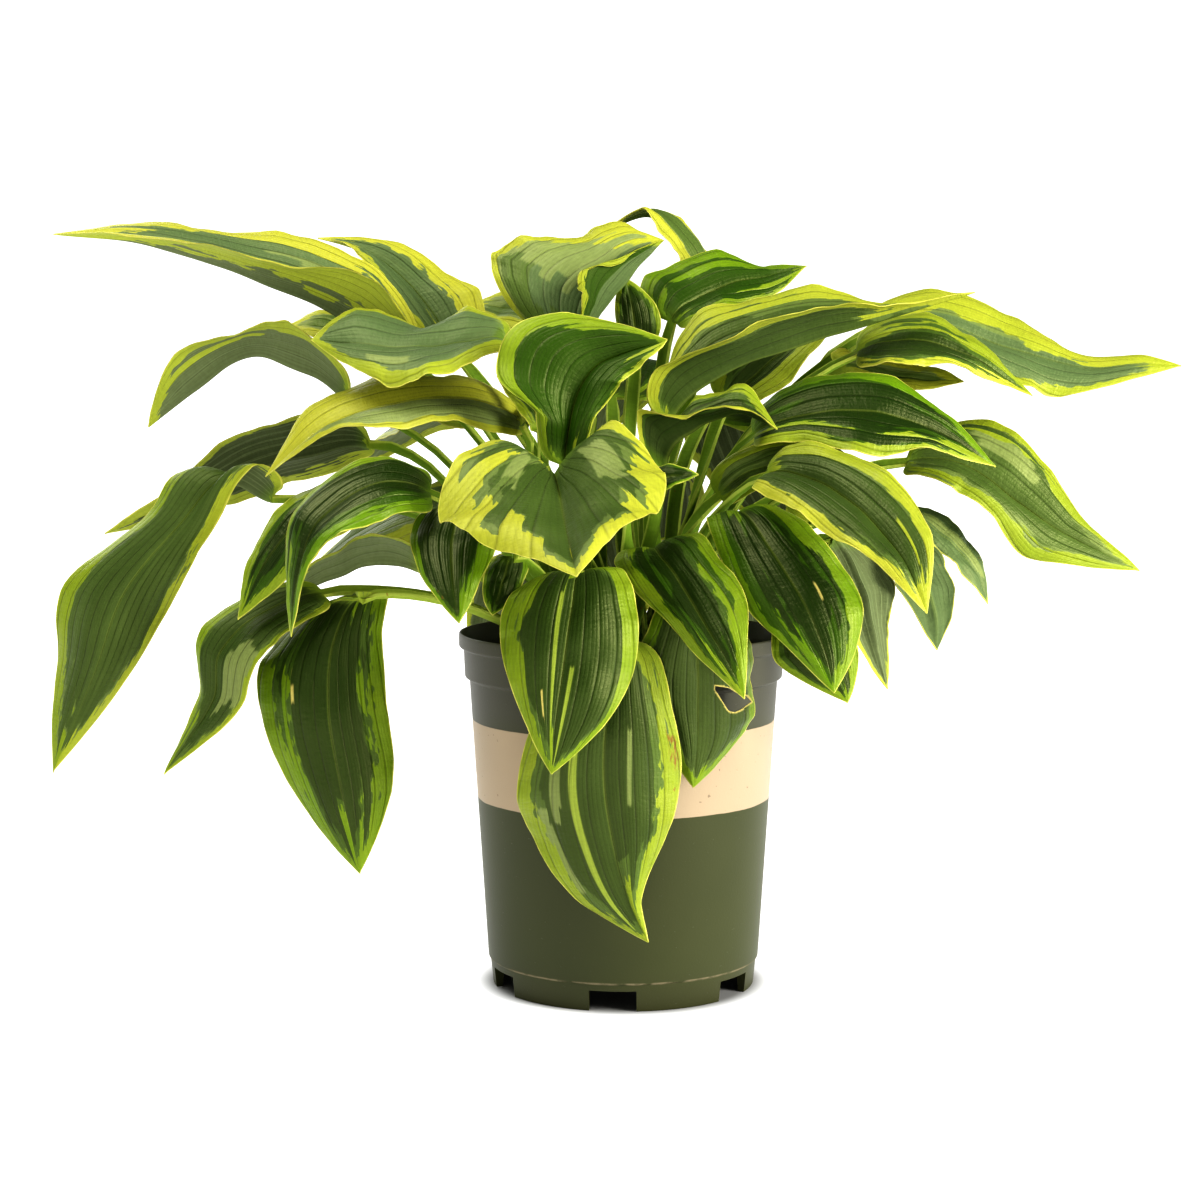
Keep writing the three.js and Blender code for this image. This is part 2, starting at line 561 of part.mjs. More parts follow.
function makeRoom(leafFaces) {
  const cells = new Map();
  const samples = [];
  const faces = [...leafFaces, potFace()];
  const potOwner = leafFaces.length;
  const layersOf = (owner, k, point) => {
    const first = LAYERS * owner;
    if (owner === potOwner) return [first];
    const layers = [first + (k < NECK_ROW ? STALK : BLADE)];
    if (k <= NECK_ROW - 2) layers.push(first + STALK_FAR_FROM_NECK);
    if (k >= NECK_ROW + 1) layers.push(first + BLADE_FAR_FROM_NECK);
    if (Math.hypot(point.x, point.y) > RIM_RADIUS - 4) layers.push(first + OUTSIDE_POT);
    return layers;
  };
  const meet = (a, b) => {
    const kindA = a % LAYERS;
    const kindB = b % LAYERS;
    if (b === LAYERS * potOwner) return kindA === OUTSIDE_POT;
    if (kindA === STALK_FAR_FROM_NECK) return b === a - kindA + BLADE_FAR_FROM_NECK;
    return a - kindA < b - kindB && kindA <= BLADE && kindB <= BLADE;
  };
  faces.forEach((face, owner) => {
    const { rows, thick } = face;
    for (let k = 0; k + 1 < rows.length; k += 1) {
      for (let j = 0; j + 1 < rows[k].length; j += 1) {
        const corner = [rows[k][j], rows[k][j + 1], rows[k + 1][j], rows[k + 1][j + 1]];
        const long = Math.max(corner[0].distanceTo(corner[2]), corner[1].distanceTo(corner[3]));
        const broad = Math.max(corner[0].distanceTo(corner[1]), corner[2].distanceTo(corner[3]));
        const cutsLong = Math.ceil(long / 2) + 1;
        const cutsBroad = Math.ceil(broad / 2) + 1;
        for (let m = 0; m <= cutsLong; m += 1) {
          for (let n = 0; n <= cutsBroad; n += 1) {
            const u = m / cutsLong;
            const near = corner[0].clone().lerp(corner[1], n / cutsBroad);
            const far = corner[2].clone().lerp(corner[3], n / cutsBroad);
            const point = near.lerp(far, u);
            const scale = EYE.y / (EYE.y - point.y);
            const x = EYE.x + (point.x - EYE.x) * scale;
            const z = EYE.z + (point.z - EYE.z) * scale;
            const id = Math.round(x / CELL + 400) * 1000 + Math.round(z / CELL + 400);
            const flesh = (thick[k] * (1 - u) + thick[k + 1] * u) / 2;
            samples.push({ owner, k, u, depth: point.distanceTo(EYE), flesh, z: point.z });
            if (!cells.has(id)) cells.set(id, new Map());
            const cell = cells.get(id);
            for (const layer of layersOf(owner, k, point)) {
              if (!cell.has(layer)) cell.set(layer, []);
              cell.get(layer).push(samples.length - 1);
            }
          }
        }
      }
    }
  });

  // Pairs of leaves that share a cell or lie in neighbouring ones.
  const pairs = new Map();
  const around = [0, 1, -1, 1000, -1000, 1001, 999, -999, -1001];
  for (const [id, cell] of cells) {
    for (const step of around) {
      const other = cells.get(id + step);
      if (!other) continue;
      for (const a of cell.keys()) {
        for (const b of other.keys()) {
          if (!meet(a, b)) continue;
          const key = a * 1000 + b;
          if (!pairs.has(key)) pairs.set(key, []);
          pairs.get(key).push([id, id + step]);
        }
      }
    }
  }

  const shift = faces.map((face) => face.rows.map(() => 0));
  const depthOf = (sample) => {
    const own = shift[sample.owner];
    return sample.depth + own[sample.k] * (1 - sample.u) + own[sample.k + 1] * sample.u;
  };
  const range = new Map();
  const measure = () => {
    for (const [id, cell] of cells) {
      for (const [layer, list] of cell) {
        let near = list[0];
        let far = list[0];
        for (const i of list) {
          if (depthOf(samples[i]) - samples[i].flesh < depthOf(samples[near]) - samples[near].flesh) near = i;
          if (depthOf(samples[i]) + samples[i].flesh > depthOf(samples[far]) + samples[far].flesh) far = i;
        }
        range.set(id * 1000 + layer, [near, far]);
      }
    }
  };
  measure();

  // Each patch where a pair crosses gets one order, nearer first.
  const patches = [];
  for (const [key, list] of pairs) {
    const a = Math.floor(key / 1000);
    const b = key % 1000;
    const open = new Map();
    for (const [ca, cb] of list) {
      if (!open.has(ca)) open.set(ca, []);
      open.get(ca).push(cb);
    }
    while (open.size) {
      const [start] = open.keys();
      const queue = [start];
      const links = [];
      open.get(start).forEach((cb) => links.push([start, cb]));
      open.delete(start);
      while (queue.length) {
        const at = queue.pop();
        for (const step of around) {
          const next = at + step;
          if (!open.has(next)) continue;
          open.get(next).forEach((cb) => links.push([next, cb]));
          open.delete(next);
          queue.push(next);
        }
      }
      let lead = 0;
      for (const [ca, cb] of links) {
        const [nearA, farA] = range.get(ca * 1000 + a);
        const [nearB, farB] = range.get(cb * 1000 + b);
        const low = Math.min(samples[nearA].z, samples[nearB].z);
        const weight = low < SOIL_MID_Z + 12 ? 12 : 1;
        lead += weight * (samples[nearB].depth + samples[farB].depth - samples[nearA].depth - samples[farA].depth);
      }
      patches.push({ front: lead > 0 ? a : b, rear: lead > 0 ? b : a, swap: lead <= 0, links });
    }
  }

  for (let round = 0; round < ROOM_ROUNDS; round += 1) {
    measure();
    const pushNear = faces.map((face) => face.rows.map(() => 0));
    const pushFar = faces.map((face) => face.rows.map(() => 0));
    let worst = 0;
    for (const { front, rear, swap, links } of patches) {
      for (const [ca, cb] of links) {
        const far = samples[range.get((swap ? cb : ca) * 1000 + front)[1]];
        const near = samples[range.get((swap ? ca : cb) * 1000 + rear)[0]];
        const room = depthOf(near) - near.flesh - depthOf(far) - far.flesh;
        const lack = SPARE - room;
        if (lack <= 0) continue;
        worst = Math.max(worst, lack);
        const step = Math.min(lack, 12) * (Math.max(front, rear) === LAYERS * potOwner ? 1 : 0.5);
        const give = (table, sample) => {
          const own = table[sample.owner];
          own[sample.k] = Math.max(own[sample.k], step * Math.min(1, 2 * (1 - sample.u)));
          own[sample.k + 1] = Math.max(own[sample.k + 1], step * Math.min(1, 2 * sample.u));
        };
        give(pushNear, far);
        give(pushFar, near);
      }
    }
    const last = round > ROOM_ROUNDS * 0.75;
    shift.forEach((own, i) => {
      if (i === potOwner) return;
      for (let k = 2; k < own.length; k += 1) own[k] += (pushFar[i][k] - pushNear[i][k]) * 0.9;
      if (!last || round % 4 === 0) {
        const copy = own.slice();
        const share = last ? 0.06 : 0.2;
        for (let k = 2; k < own.length; k += 1) {
          const after = copy[Math.min(k + 1, own.length - 1)];
          own[k] += share * (copy[k - 1] + after - 2 * copy[k]) / 2;
        }
      }
    });
    if (worst < 0.05) break;
  }
  leafFaces.forEach((face, i) => {
    face.rows = face.rows.map((row, k) => row.map((point) => alongSight(point, shift[i][k])));
  });
}

// Joins and cuts.
function solid(geometry) {
  const plain = geometry.clone();
  plain.deleteAttribute("normal");
  plain.deleteAttribute("uv");
  const merged = mergeVertices(plain, 1e-4);
  return new wasm.Manifold(new wasm.Mesh({
    numProp: 3,
    vertProperties: merged.attributes.position.array,
    triVerts: new Uint32Array(merged.index.array),
  }));
}

function geometryOf(made) {
  const mesh = made.getMesh();
  const geometry = new THREE.BufferGeometry();
  geometry.setAttribute("position", new THREE.BufferAttribute(mesh.vertProperties, 3));
  geometry.setIndex(new THREE.BufferAttribute(mesh.triVerts, 1));
  return geometry;
}

function turned(profile, sides) {
  const points = profile.map(([r, z]) => new THREE.Vector2(r, z));
  return new THREE.LatheGeometry(points, sides).rotateX(Math.PI / 2);
}

const bodyRadius = (z) => BODY_RADIUS_AT_LEDGE + (z - LEDGE_Z) * BODY_FLARE;

function potGeometry() {
  const shell = solid(turned([
    [0, FLOOR_BOTTOM],
    [FOOT_RING_INNER - 1, FLOOR_BOTTOM],
    [FOOT_RING_INNER, 0],
    [FOOT_RADIUS, 0],
    [BODY_RADIUS_AT_LEDGE - 0.8, LEDGE_Z - 0.4],
    [BODY_RADIUS_AT_LEDGE, LEDGE_Z],
    [bodyRadius(COLLAR_Z - 0.6), COLLAR_Z - 0.6],
    [COLLAR_RADIUS, COLLAR_Z + 0.4],
    [COLLAR_TOP_RADIUS, LIP_Z - 0.8],
    [RIM_RADIUS - 0.2, LIP_Z],
    [RIM_RADIUS, LIP_Z + LIP_ROUND],
    [RIM_RADIUS, POT_HEIGHT - LIP_ROUND],
    [RIM_RADIUS - LIP_ROUND, POT_HEIGHT],
    [RIM_RADIUS - WALL, POT_HEIGHT],
    [COLLAR_TOP_RADIUS - WALL, LIP_Z - 2],
    [COLLAR_RADIUS - WALL, COLLAR_Z + 2],
    [bodyRadius(COLLAR_Z - 2) - WALL, COLLAR_Z - 2],
    [bodyRadius(FLOOR_TOP + 2) - WALL, FLOOR_TOP + 2],
    [bodyRadius(FLOOR_TOP) - WALL - 2, FLOOR_TOP],
    [0, FLOOR_TOP],
  ], POT_SIDES));
  let pot = shell;
  for (let i = 0; i < NOTCH_COUNT; i += 1) {
    const turn = (NOTCH_FIRST_DEG + (i * 360) / NOTCH_COUNT) * DEG;
    const notch = new THREE.BoxGeometry(NOTCH_WIDTH, 24, NOTCH_HEIGHT + 2);
    notch.translate(0, -FOOT_RADIUS, NOTCH_HEIGHT / 2 - 1);
    const drain = new THREE.BoxGeometry(DRAIN_LENGTH, DRAIN_DEPTH, 8);
    drain.translate(0, -DRAIN_RADIUS, (FLOOR_BOTTOM + FLOOR_TOP) / 2);
    for (const tool of [notch, drain]) pot = pot.subtract(solid(tool.rotateZ(turn)));
  }
  return geometryOf(pot);
}

function soilGeometry(leaves) {
  const inside = (z) => bodyRadius(z) - WALL - SOIL_GAP;
  const low = FLOOR_TOP + SOIL_GAP;
  const chord = Math.cos(Math.PI / POT_SIDES);
  let soil = solid(turned([
    [0, low],
    [(inside(low) - 2.4) * chord, low],
    [inside(low + 2.2) * chord, low + 2.2],
    [(inside(COLLAR_Z - 2) - 0.1) * chord, COLLAR_Z - 2],
    [(COLLAR_RADIUS - WALL - SOIL_GAP - 0.2) * chord, SOIL_EDGE_Z],
    [40, SOIL_MID_Z],
    [0, SOIL_MID_Z],
  ], SOIL_SIDES));
  const depth = PEG_DEPTH + 1;
  for (const one of leaves) {
    const hole = new THREE.CylinderGeometry(HOLE_RADIUS, HOLE_RADIUS, depth + 4, HOLE_SIDES);
    hole.rotateX(Math.PI / 2);
    const outward = sighted(one.neck).sub(one.foot).setZ(0);
    hole.rotateZ(Math.atan2(outward.y, outward.x));
    hole.translate(one.foot.x, one.foot.y, SOIL_MID_Z - depth / 2 + 2);
    soil = soil.subtract(solid(hole));
  }
  return geometryOf(soil);
}

const finish = (color, roughness) =>
  new THREE.MeshStandardMaterial({ color, roughness, metalness: 0, side: THREE.FrontSide });
const POT_FINISH = finish(0x35412f, 0.45);
const SOIL_FINISH = finish(0x2a2018, 0.95);
const LEAF_FINISH = finish(0x5f8a2a, 0.5);

function mesh(name, geometry, material) {
  const made = new THREE.Mesh(geometry, material);
  made.name = name;
  geometry.computeVertexNormals();
  return made;
}

standStalks(LEAVES);
LEAVES.forEach((one, i) => {
  one.phase = (i * 0.37) % 1;
});
const faces = LEAVES.map((one) => faceOf(one, STALK_CUTS, BLADE_CUTS, ACROSS));
makeRoom(faces);

const group = new THREE.Group();
group.name = "potted_hosta";
group.add(mesh("pot", potGeometry(), POT_FINISH));
group.add(mesh("soil", soilGeometry(LEAVES), SOIL_FINISH));
LEAVES.forEach((one, i) => {
  group.add(mesh(one.name, leafGeometry(faces[i]), LEAF_FINISH.clone()));
});

export default group;
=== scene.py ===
# A hosta in a nursery pot: fine leaves, pot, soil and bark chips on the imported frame.
import math
from dataclasses import dataclass
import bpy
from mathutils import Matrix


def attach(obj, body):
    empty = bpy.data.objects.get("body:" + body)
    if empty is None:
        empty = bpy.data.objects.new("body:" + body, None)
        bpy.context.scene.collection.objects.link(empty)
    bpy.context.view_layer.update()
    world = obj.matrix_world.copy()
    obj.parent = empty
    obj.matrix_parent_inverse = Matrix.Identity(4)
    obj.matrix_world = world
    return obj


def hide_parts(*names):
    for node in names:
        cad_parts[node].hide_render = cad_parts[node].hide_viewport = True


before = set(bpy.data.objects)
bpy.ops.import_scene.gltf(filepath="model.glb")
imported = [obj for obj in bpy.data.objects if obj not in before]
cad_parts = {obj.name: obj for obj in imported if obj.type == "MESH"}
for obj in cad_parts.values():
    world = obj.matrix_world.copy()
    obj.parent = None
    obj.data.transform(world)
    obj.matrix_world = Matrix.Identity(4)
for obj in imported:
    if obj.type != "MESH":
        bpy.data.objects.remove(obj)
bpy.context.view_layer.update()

from types import SimpleNamespace

import bpy
import numpy as np
from mathutils import Vector, noise

# The solids' own measures, in millimetres. Each leaf below repeats its row of the part's table.
MM = 0.001
SOIL_MID_Z = 168
SOIL_EDGE_Z = 166
PEG_DEPTH = 12
STRAIGHT_ABOVE_SOIL = 2.0
CROWN_SPREAD = 5.6
CROWN_CHOICE = 16
GOLDEN_ANGLE = math.pi * (3 - math.sqrt(5))
PHASE_STEP = 0.37
BLADE_THICK = 0.8
STALK_THICK = 2.4
STALK_HALF_WIDTH = 2.8
NECK_HALF_WIDTH = 2.6
STALK_CHANNEL = 1.3
STALK_THICK_TO = 0.14
STEM_TO = 0.16
TIP_HALF_WIDTH = 0.7
HALF_BULGE = 0.1
WAVE_HEIGHT = 0.05
WAVE_COUNT = 3
LOBE_SWEEP = 0.16
LOBE_END = 0.22
OUTLINE_BASE_POWER = 6
OUTLINE_TIP_POWER = 2.6
OUTLINE_PEAK = 0.905

# How finely the leaves are drawn here.
FINE_STALK_ROWS = 14
FINE_BLADE_ROWS = 58
FINE_ACROSS = 41
ENDS_CLOSER = 0.4
FINE_THICK = 0.55
EDGE_THINNING = 0.35
RIB_HEIGHT = 1.3
RIB_HALF_WIDTH = 1.6
STALK_ROUNDNESS = 0.94
STALK_EDGE_THICK = 0.35
STALK_SKIN_TO = -4
STALK_SKIN_FADE = 12
SHARP_DEG = 50

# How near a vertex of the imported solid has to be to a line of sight, and two shifts to each
# other, to count as the same.
SAME_SIGHT_MM = 0.05
SAME_SHIFT_MM = 0.1

# Crimps of a margin as waves per blade, share of the leaf's phase and size, and the buckles'
# scale along the blade, across it and from leaf to leaf.
CRIMPS = ((7.3, 3, 1), (12.1, 5, 0.6))
BUCKLE_SCALE = (6.5, 2.6, 9.7)

# The hole bitten into one leaf, read on the plane y = 0 as x and z in mm.
BITTEN_LEAF = "front_bitten"
BITE = (
    (44.9, 153.0), (54, 151.6), (58.6, 148.8), (63.1, 147.7), (65.8, 144.7),
    (60.8, 140.8), (57.4, 139), (54, 139.7), (51.7, 143.1), (48.3, 148.8),
)

# Camera, as the photograph was taken: 1.3 m in front, 0.33 m up, looking down a little.
EYE = np.array([-12.0, -1300.0, 326.0])
CAMERA_PITCH = 0.099
CAMERA_FOCAL_PX = 2561
PICTURE_PX = 1200
SENSOR_MM = 36

LEAVES = []


def leaf(name, stalk, neck, tip, *stations):
    """One row of the leaf table, as in the part's source."""
    LEAVES.append(SimpleNamespace(name=name, stalk=stalk, neck=neck, tip=tip, stations=stations))


# Leaves, each as seen from the front: stalk, neck and tip, then for each station along the
# blade the midrib and its two margins. A point is x, z and depth. A margin's third number is
# how much farther away than the midrib it lies. Margin a is on the left of the upper face
# when the tip points down, and margin b is on the right.

# Left side of the plant.
leaf("left_long", (-62, 262, 6), (-104, 312, 2), (-287, 382, 2),
     (-138, 339, 0, -132, 371, 18, -127, 358, -26),
     (-190, 361, 0, -188, 383, 28, -190, 371, -30),
     (-240, 377, 0, -240, 387, 20, -243, 381, -18))
leaf("left_behind", (-45, 270, 40), (-84, 322, 48), (-154, 380, 68),
     (-97, 343, 56, -73, 352, 8, -114, 346, -10),
     (-110, 359, 62, -90, 363, 10, -127, 364, -10),
     (-130, 373, 66, -118, 379, 8, -138, 376, -6))
leaf("left_arch", (-88, 266, 4), (-138, 300, 8), (-241, 285, 8),
     (-160, 313, 8, -160, 327, 24, -163, 335, -24),
     (-190, 321, 8, -190, 326, 28, -194, 334, -26),
     (-218, 303, 8, -222, 308, 20, -232, 316, -16))
leaf("left_small", (-70, 285, 40), (-112, 318, 50), (-173, 334, 58),
     (-138, 331, 54, -136, 340, 16, -138, 326, -14),
     (-156, 336, 56, -156, 343, 12, -156, 331, -10))
leaf("left_face", (-38, 285, -48), (-60, 328, -40), (-158, 329, -36),
     (-80, 327, -44, -75, 344, 20, -78, 319, -22),
     (-110, 325, -48, -106, 336, 28, -110, 307, -24),
     (-136, 327, -44, -136, 346, 18, -134, 313, -14))
leaf("left_yellow", (-47, 262, -62), (-50, 287, -72), (-182, 260, -54),
     (-74, 299, -70, -78, 309, 22, -76, 287, -22),
     (-110, 298, -68, -112, 311, 28, -108, 286, -24),
     (-150, 285, -62, -156, 298, 18, -150, 282, -18))
leaf("left_dark", (-96, 262, 18), (-128, 277, 26), (-264, 231, 32),
     (-158, 271, 30, -152, 262, 22, -164, 290, -16),
     (-190, 263, 32, -183, 252, 24, -197, 280, -16),
     (-232, 244, 32, -228, 238, 10, -238, 248, -8))
leaf("left_droop", (-95, 236, -24), (-178, 250, -28), (-293, 108, -34),
     (-204, 258, -34, -222, 265, 12, -190, 266, -10),
     (-225, 236, -39, -242, 241, 12, -209, 233, 2),
     (-255, 200, -43, -285, 205, 16, -228, 200, 10),
     (-270, 160, -42, -290, 165, 14, -250, 162, 10))
leaf("left_under", (-78, 225, -44), (-124, 250, -50), (-197, 187, -74),
     (-158, 242, -62, -168, 250, 12, -152, 226, -12),
     (-180, 220, -70, -189, 222, 10, -168, 211, -8))
leaf("left_gloss", (-60, 222, -66), (-98, 252, -80), (-170, 178, -114),
     (-124, 257, -92, -121, 270, 22, -120, 239, -16),
     (-154, 238, -104, -165, 246, 12, -148, 228, -12),
     (-165, 213, -110, -172, 212, 8, -160, 215, -6))
leaf("left_grey", (-66, 205, -6), (-102, 214, -4), (-183, 194, 6),
     (-126, 216, 0, -126, 225, 22, -126, 230, -18),
     (-152, 207, 2, -152, 213, 18, -153, 219, -14))
leaf("left_twist", (-85, 196, -26), (-154, 201, -34), (-236, 107, -50),
     (-183, 191, -44, -192, 199, 14, -170, 181, -10),
     (-206, 170, -52, -218, 176, 10, -186, 168, -14),
     (-210, 145, -54, -218, 146, 6, -196, 142, -8))
leaf("left_hanging", (-84, 194, -52), (-134, 198, -62), (-136, 55, -78),
     (-148, 175, -72, -180, 172, 14, -124, 180, 10),
     (-151, 140, -80, -187, 144, 14, -121, 143, 10),
     (-144, 95, -82, -168, 95, 10, -119, 98, 8))
leaf("left_inner", (-58, 220, -78), (-80, 243, -92), (-84, 185, -134),
     (-87, 229, -108, -108, 232, 8, -63, 229, 10),
     (-87, 208, -124, -102, 208, 4, -73, 207, 5))
leaf("left_torn", (-40, 205, -76), (-56, 219, -88), (-67, 189, -104),
     (-61, 208, -96, -71, 208, 4, -50, 210, 4),
     (-64, 198, -102, -71, 196, 2, -56, 197, 3))

# Front of the plant, from the top down.
leaf("front_heart", (-22, 222, -78), (-35, 261, -96), (-24, 209, -190),
     (-34, 257, -104, -63, 284, 12, -9, 289, 12),
     (-32, 248, -126, -93, 250, 8, 19, 263, 10),
     (-29, 232, -156, -78, 230, 6, 13, 241, 8),
     (-26, 218, -178, -44, 217, 4, -11, 225, 4))
leaf("front_funnel", (-28, 235, -66), (-30, 266, -78), (22, 329, -78),
     (-28, 283, -80, -16, 289, -6, -44, 293, -8),
     (-24, 300, -77, -4, 304, -8, -64, 312, -4),
     (-18, 311, -75, 0, 309, -10, -55, 336, 2),
     (-10, 318, -74, 6, 314, -10, -29, 342, 6))
leaf("front_bud", (-40, 250, -56), (-42, 284, -64), (-64, 311, -70),
     (-48, 296, -68, -40, 302, 5, -54, 295, -5))
leaf("front_centre", (-16, 192, -84), (-23, 211, -98), (-37, 107, -134),
     (-27, 190, -116, -62, 189, 10, 6, 194, 10),
     (-31, 162, -126, -60, 161, 8, 5, 161, 8),
     (-35, 132, -132, -49, 131, 4, -11, 131, 4))
leaf("front_low", (-4, 192, -84), (-5, 176, -104), (13, 19, -93),
     (-8, 146, -110, -44, 138, 12, 24, 142, 10),
     (-10, 105, -108, -54, 96, 16, 29, 104, 12),
     (-4, 65, -102, -42, 66, 12, 20, 70, 8),
     (4, 39, -97, -20, 38, 6, 9, 40, 3))
leaf("front_right", (10, 205, -68), (15, 223, -82), (62, 146, -136),
     (19, 219, -92, -4, 219, 6, 38, 231, 6),
     (28, 207, -104, 2, 206, 8, 48, 219, 8),
     (43, 182, -122, 24, 184, 6, 63, 195, 8),
     (55, 162, -132, 43, 163, 3, 63, 171, 4))
leaf("front_bitten", (30, 190, -78), (40, 198, -92), (36, 100, -87),
     (38, 176, -98, 12, 180, 2, 62, 180, 16),
     (38, 146, -94, 8, 152, 2, 66, 152, 24),
     (38, 121, -89, 22, 121, 3, 62, 128, 18))
leaf("front_small", (2, 232, -82), (4, 250, -92), (38, 261, -102),
     (20, 259, -98, 22, 254, -4, 22, 266, 4))
leaf("front_vee", (15, 232, -58), (20, 262, -64), (78, 284, -74),
     (25, 276, -66, 8, 292, -12, 28, 292, 12),
     (40, 287, -66, 32, 291, -18, 42, 301, 14),
     (60, 292, -68, 60, 295, -14, 62, 306, 12))

# Right side of the plant.
leaf("right_drop", (38, 215, -58), (58, 242, -74), (108, 149, -124),
     (75, 222, -96, 50, 219, 10, 98, 230, 12),
     (92, 195, -112, 65, 191, 8, 121, 197, 12),
     (103, 170, -120, 86, 170, 4, 119, 172, 6))
leaf("right_lobe", (44, 235, -62), (72, 261, -82), (155, 190, -148),
     (94, 259, -98, 80, 248, -12, 98, 276, 14),
     (120, 243, -120, 104, 231, -8, 134, 261, 10),
     (142, 218, -138, 131, 214, -4, 157, 229, 6))
leaf("right_tucked", (42, 198, -66), (74, 205, -82), (115, 144, -98),
     (92, 188, -92, 76, 182, 4, 112, 196, 6),
     (98, 168, -96, 78, 165, 4, 120, 170, 6))
leaf("right_grey", (60, 210, -40), (106, 226, -52), (135, 151, -60),
     (121, 206, -58, 138, 205, 8, 108, 202, -6),
     (127, 183, -60, 135, 184, 5, 116, 181, -4))
leaf("right_pale", (80, 220, -28), (140, 228, -40), (160, 171, -48),
     (153, 206, -46, 168, 206, 8, 139, 206, -8),
     (159, 189, -48, 168, 191, 4, 150, 187, -4))
leaf("right_narrow", (85, 230, -12), (144, 240, -22), (186, 195, -28),
     (164, 228, -26, 162, 222, -10, 168, 235, 12),
     (179, 212, -28, 175, 208, -6, 183, 216, 8))
leaf("right_broad", (38, 240, -40), (66, 281, -42), (189, 265, -42),
     (92, 291, -48, 90, 279, -12, 88, 307, 20),
     (125, 293, -52, 125, 271, -20, 123, 313, 22),
     (158, 283, -48, 155, 274, -14, 158, 297, 12))
leaf("right_shade", (28, 222, -52), (48, 250, -56), (124, 262, -66),
     (66, 263, -60, 74, 256, -14, 58, 273, 6),
     (92, 268, -64, 94, 257, -12, 97, 279, 12))
leaf("right_far", (75, 245, -8), (144, 268, -10), (263, 212, -18),
     (172, 266, -14, 164, 256, -16, 180, 289, 18),
     (200, 247, -18, 184, 243, -12, 213, 269, 14),
     (222, 232, -20, 205, 219, -8, 233, 238, 8))
leaf("right_long", (14, 250, -20), (21, 288, -28), (177, 353, -4),
     (35, 303, -28, 18, 318, -16, 30, 333, 18),
     (62, 318, -24, 55, 330, -26, 55, 349, 18),
     (100, 330, -18, 100, 347, -20, 100, 354, 18),
     (130, 339, -12, 130, 345, -8, 132, 348, 8))
leaf("right_fold", (62, 280, -2), (118, 323, -4), (207, 301, -4),
     (142, 329, -6, 138, 317, -22, 142, 342, 22),
     (170, 323, -6, 168, 316, -16, 171, 334, 16))
leaf("right_reach", (64, 280, 18), (128, 334, 26), (282, 316, 24),
     (155, 338, 28, 160, 322, -20, 150, 354, 22),
     (195, 325, 28, 205, 305, -16, 197, 341, 20),
     (235, 315, 26, 226, 301, -10, 230, 322, 12),
     (262, 317, 24, 257, 309, -4, 263, 321, 5))
leaf("right_curled", (66, 268, 4), (110, 314, 8), (172, 308, 10),
     (133, 311, 10, 139, 304, -8, 122, 321, 8),
     (154, 309, 10, 152, 304, -6, 158, 315, 6))
leaf("right_behind", (40, 262, 10), (52, 297, 12), (113, 345, 18),
     (69, 313, 14, 81, 306, -8, 55, 326, 10),
     (89, 330, 16, 97, 325, -6, 76, 340, 8))
leaf("right_sliver", (70, 266, 30), (96, 294, 36), (129, 338, 42),
     (112, 320, 38, 122, 318, -5, 103, 322, 6))

# Top of the plant.
leaf("top_left", (-14, 262, -18), (-18, 322, -20), (20, 379, 18),
     (-12, 342, -12, -20, 350, -20, -67, 374, 14),
     (1, 358, -2, -22, 361, -22, -30, 381, 14),
     (11, 370, 8, 0, 370, -16, -1, 387, 12))
leaf("top_crest", (24, 270, 42), (42, 350, 58), (-9, 384, 62),
     (31, 374, 62, 38, 379, 20, 23, 377, -12),
     (14, 391, 64, 16, 395, 18, 9, 394, -12))
leaf("top_right", (14, 262, 8), (24, 338, 8), (92, 366, 30),
     (37, 350, 18, 46, 343, -16, 13, 362, 12),
     (54, 357, 26, 60, 347, -16, 45, 373, 14),
     (73, 361, 30, 75, 351, -8, 71, 366, 10))
leaf("top_small", (2, 270, -4), (6, 322, -6), (1, 360, -4),
     (5, 340, -6, 17, 344, 4, -4, 347, 4))
leaf("top_back", (-24, 262, 26), (-34, 326, 40), (-77, 347, 82),
     (-47, 342, 56, -41, 353, 12, -52, 332, -10),
     (-62, 345, 70, -59, 353, 10, -66, 336, -8))

# Back of the plant, which the photograph does not show.
leaf("back_centre", (-4, 262, 40), (-6, 300, 64), (-14, 278, 184),
     (-8, 318, 96, 30, 312, 8, -46, 312, 8),
     (-10, 316, 136, 26, 306, 6, -46, 306, 6),
     (-12, 300, 166, 8, 294, 4, -32, 294, 4))
leaf("back_right", (28, 256, 40), (42, 290, 64), (79, 230, 156),
     (54, 297, 92, 90, 284, -16, 22, 296, 16),
     (65, 280, 122, 100, 264, -14, 34, 274, 14),
     (73, 255, 143, 95, 248, -6, 50, 250, 6))
leaf("back_left", (-40, 262, 44), (-58, 290, 66), (-138, 262, 156),
     (-76, 298, 94, -50, 296, 22, -104, 288, -20),
     (-98, 292, 122, -74, 290, 16, -124, 278, -16),
     (-118, 278, 142, -104, 278, 8, -132, 268, -8))
leaf("back_left_low", (-44, 220, 40), (-78, 246, 62), (-168, 206, 108),
     (-104, 246, 84, -92, 256, 18, -112, 226, -16),
     (-134, 232, 100, -124, 242, 14, -144, 214, -12))
leaf("back_right_low", (46, 222, 40), (80, 250, 60), (160, 206, 114),
     (106, 250, 84, 114, 230, -16, 96, 262, 18),
     (134, 236, 104, 142, 218, -12, 126, 248, 14))
leaf("back_hang_left", (-22, 205, 56), (-34, 226, 84), (-52, 108, 162),
     (-44, 208, 120, -10, 206, 8, -76, 206, 8),
     (-50, 172, 146, -22, 170, 4, -78, 172, 4),
     (-52, 138, 158, -36, 138, 2, -66, 138, 2))
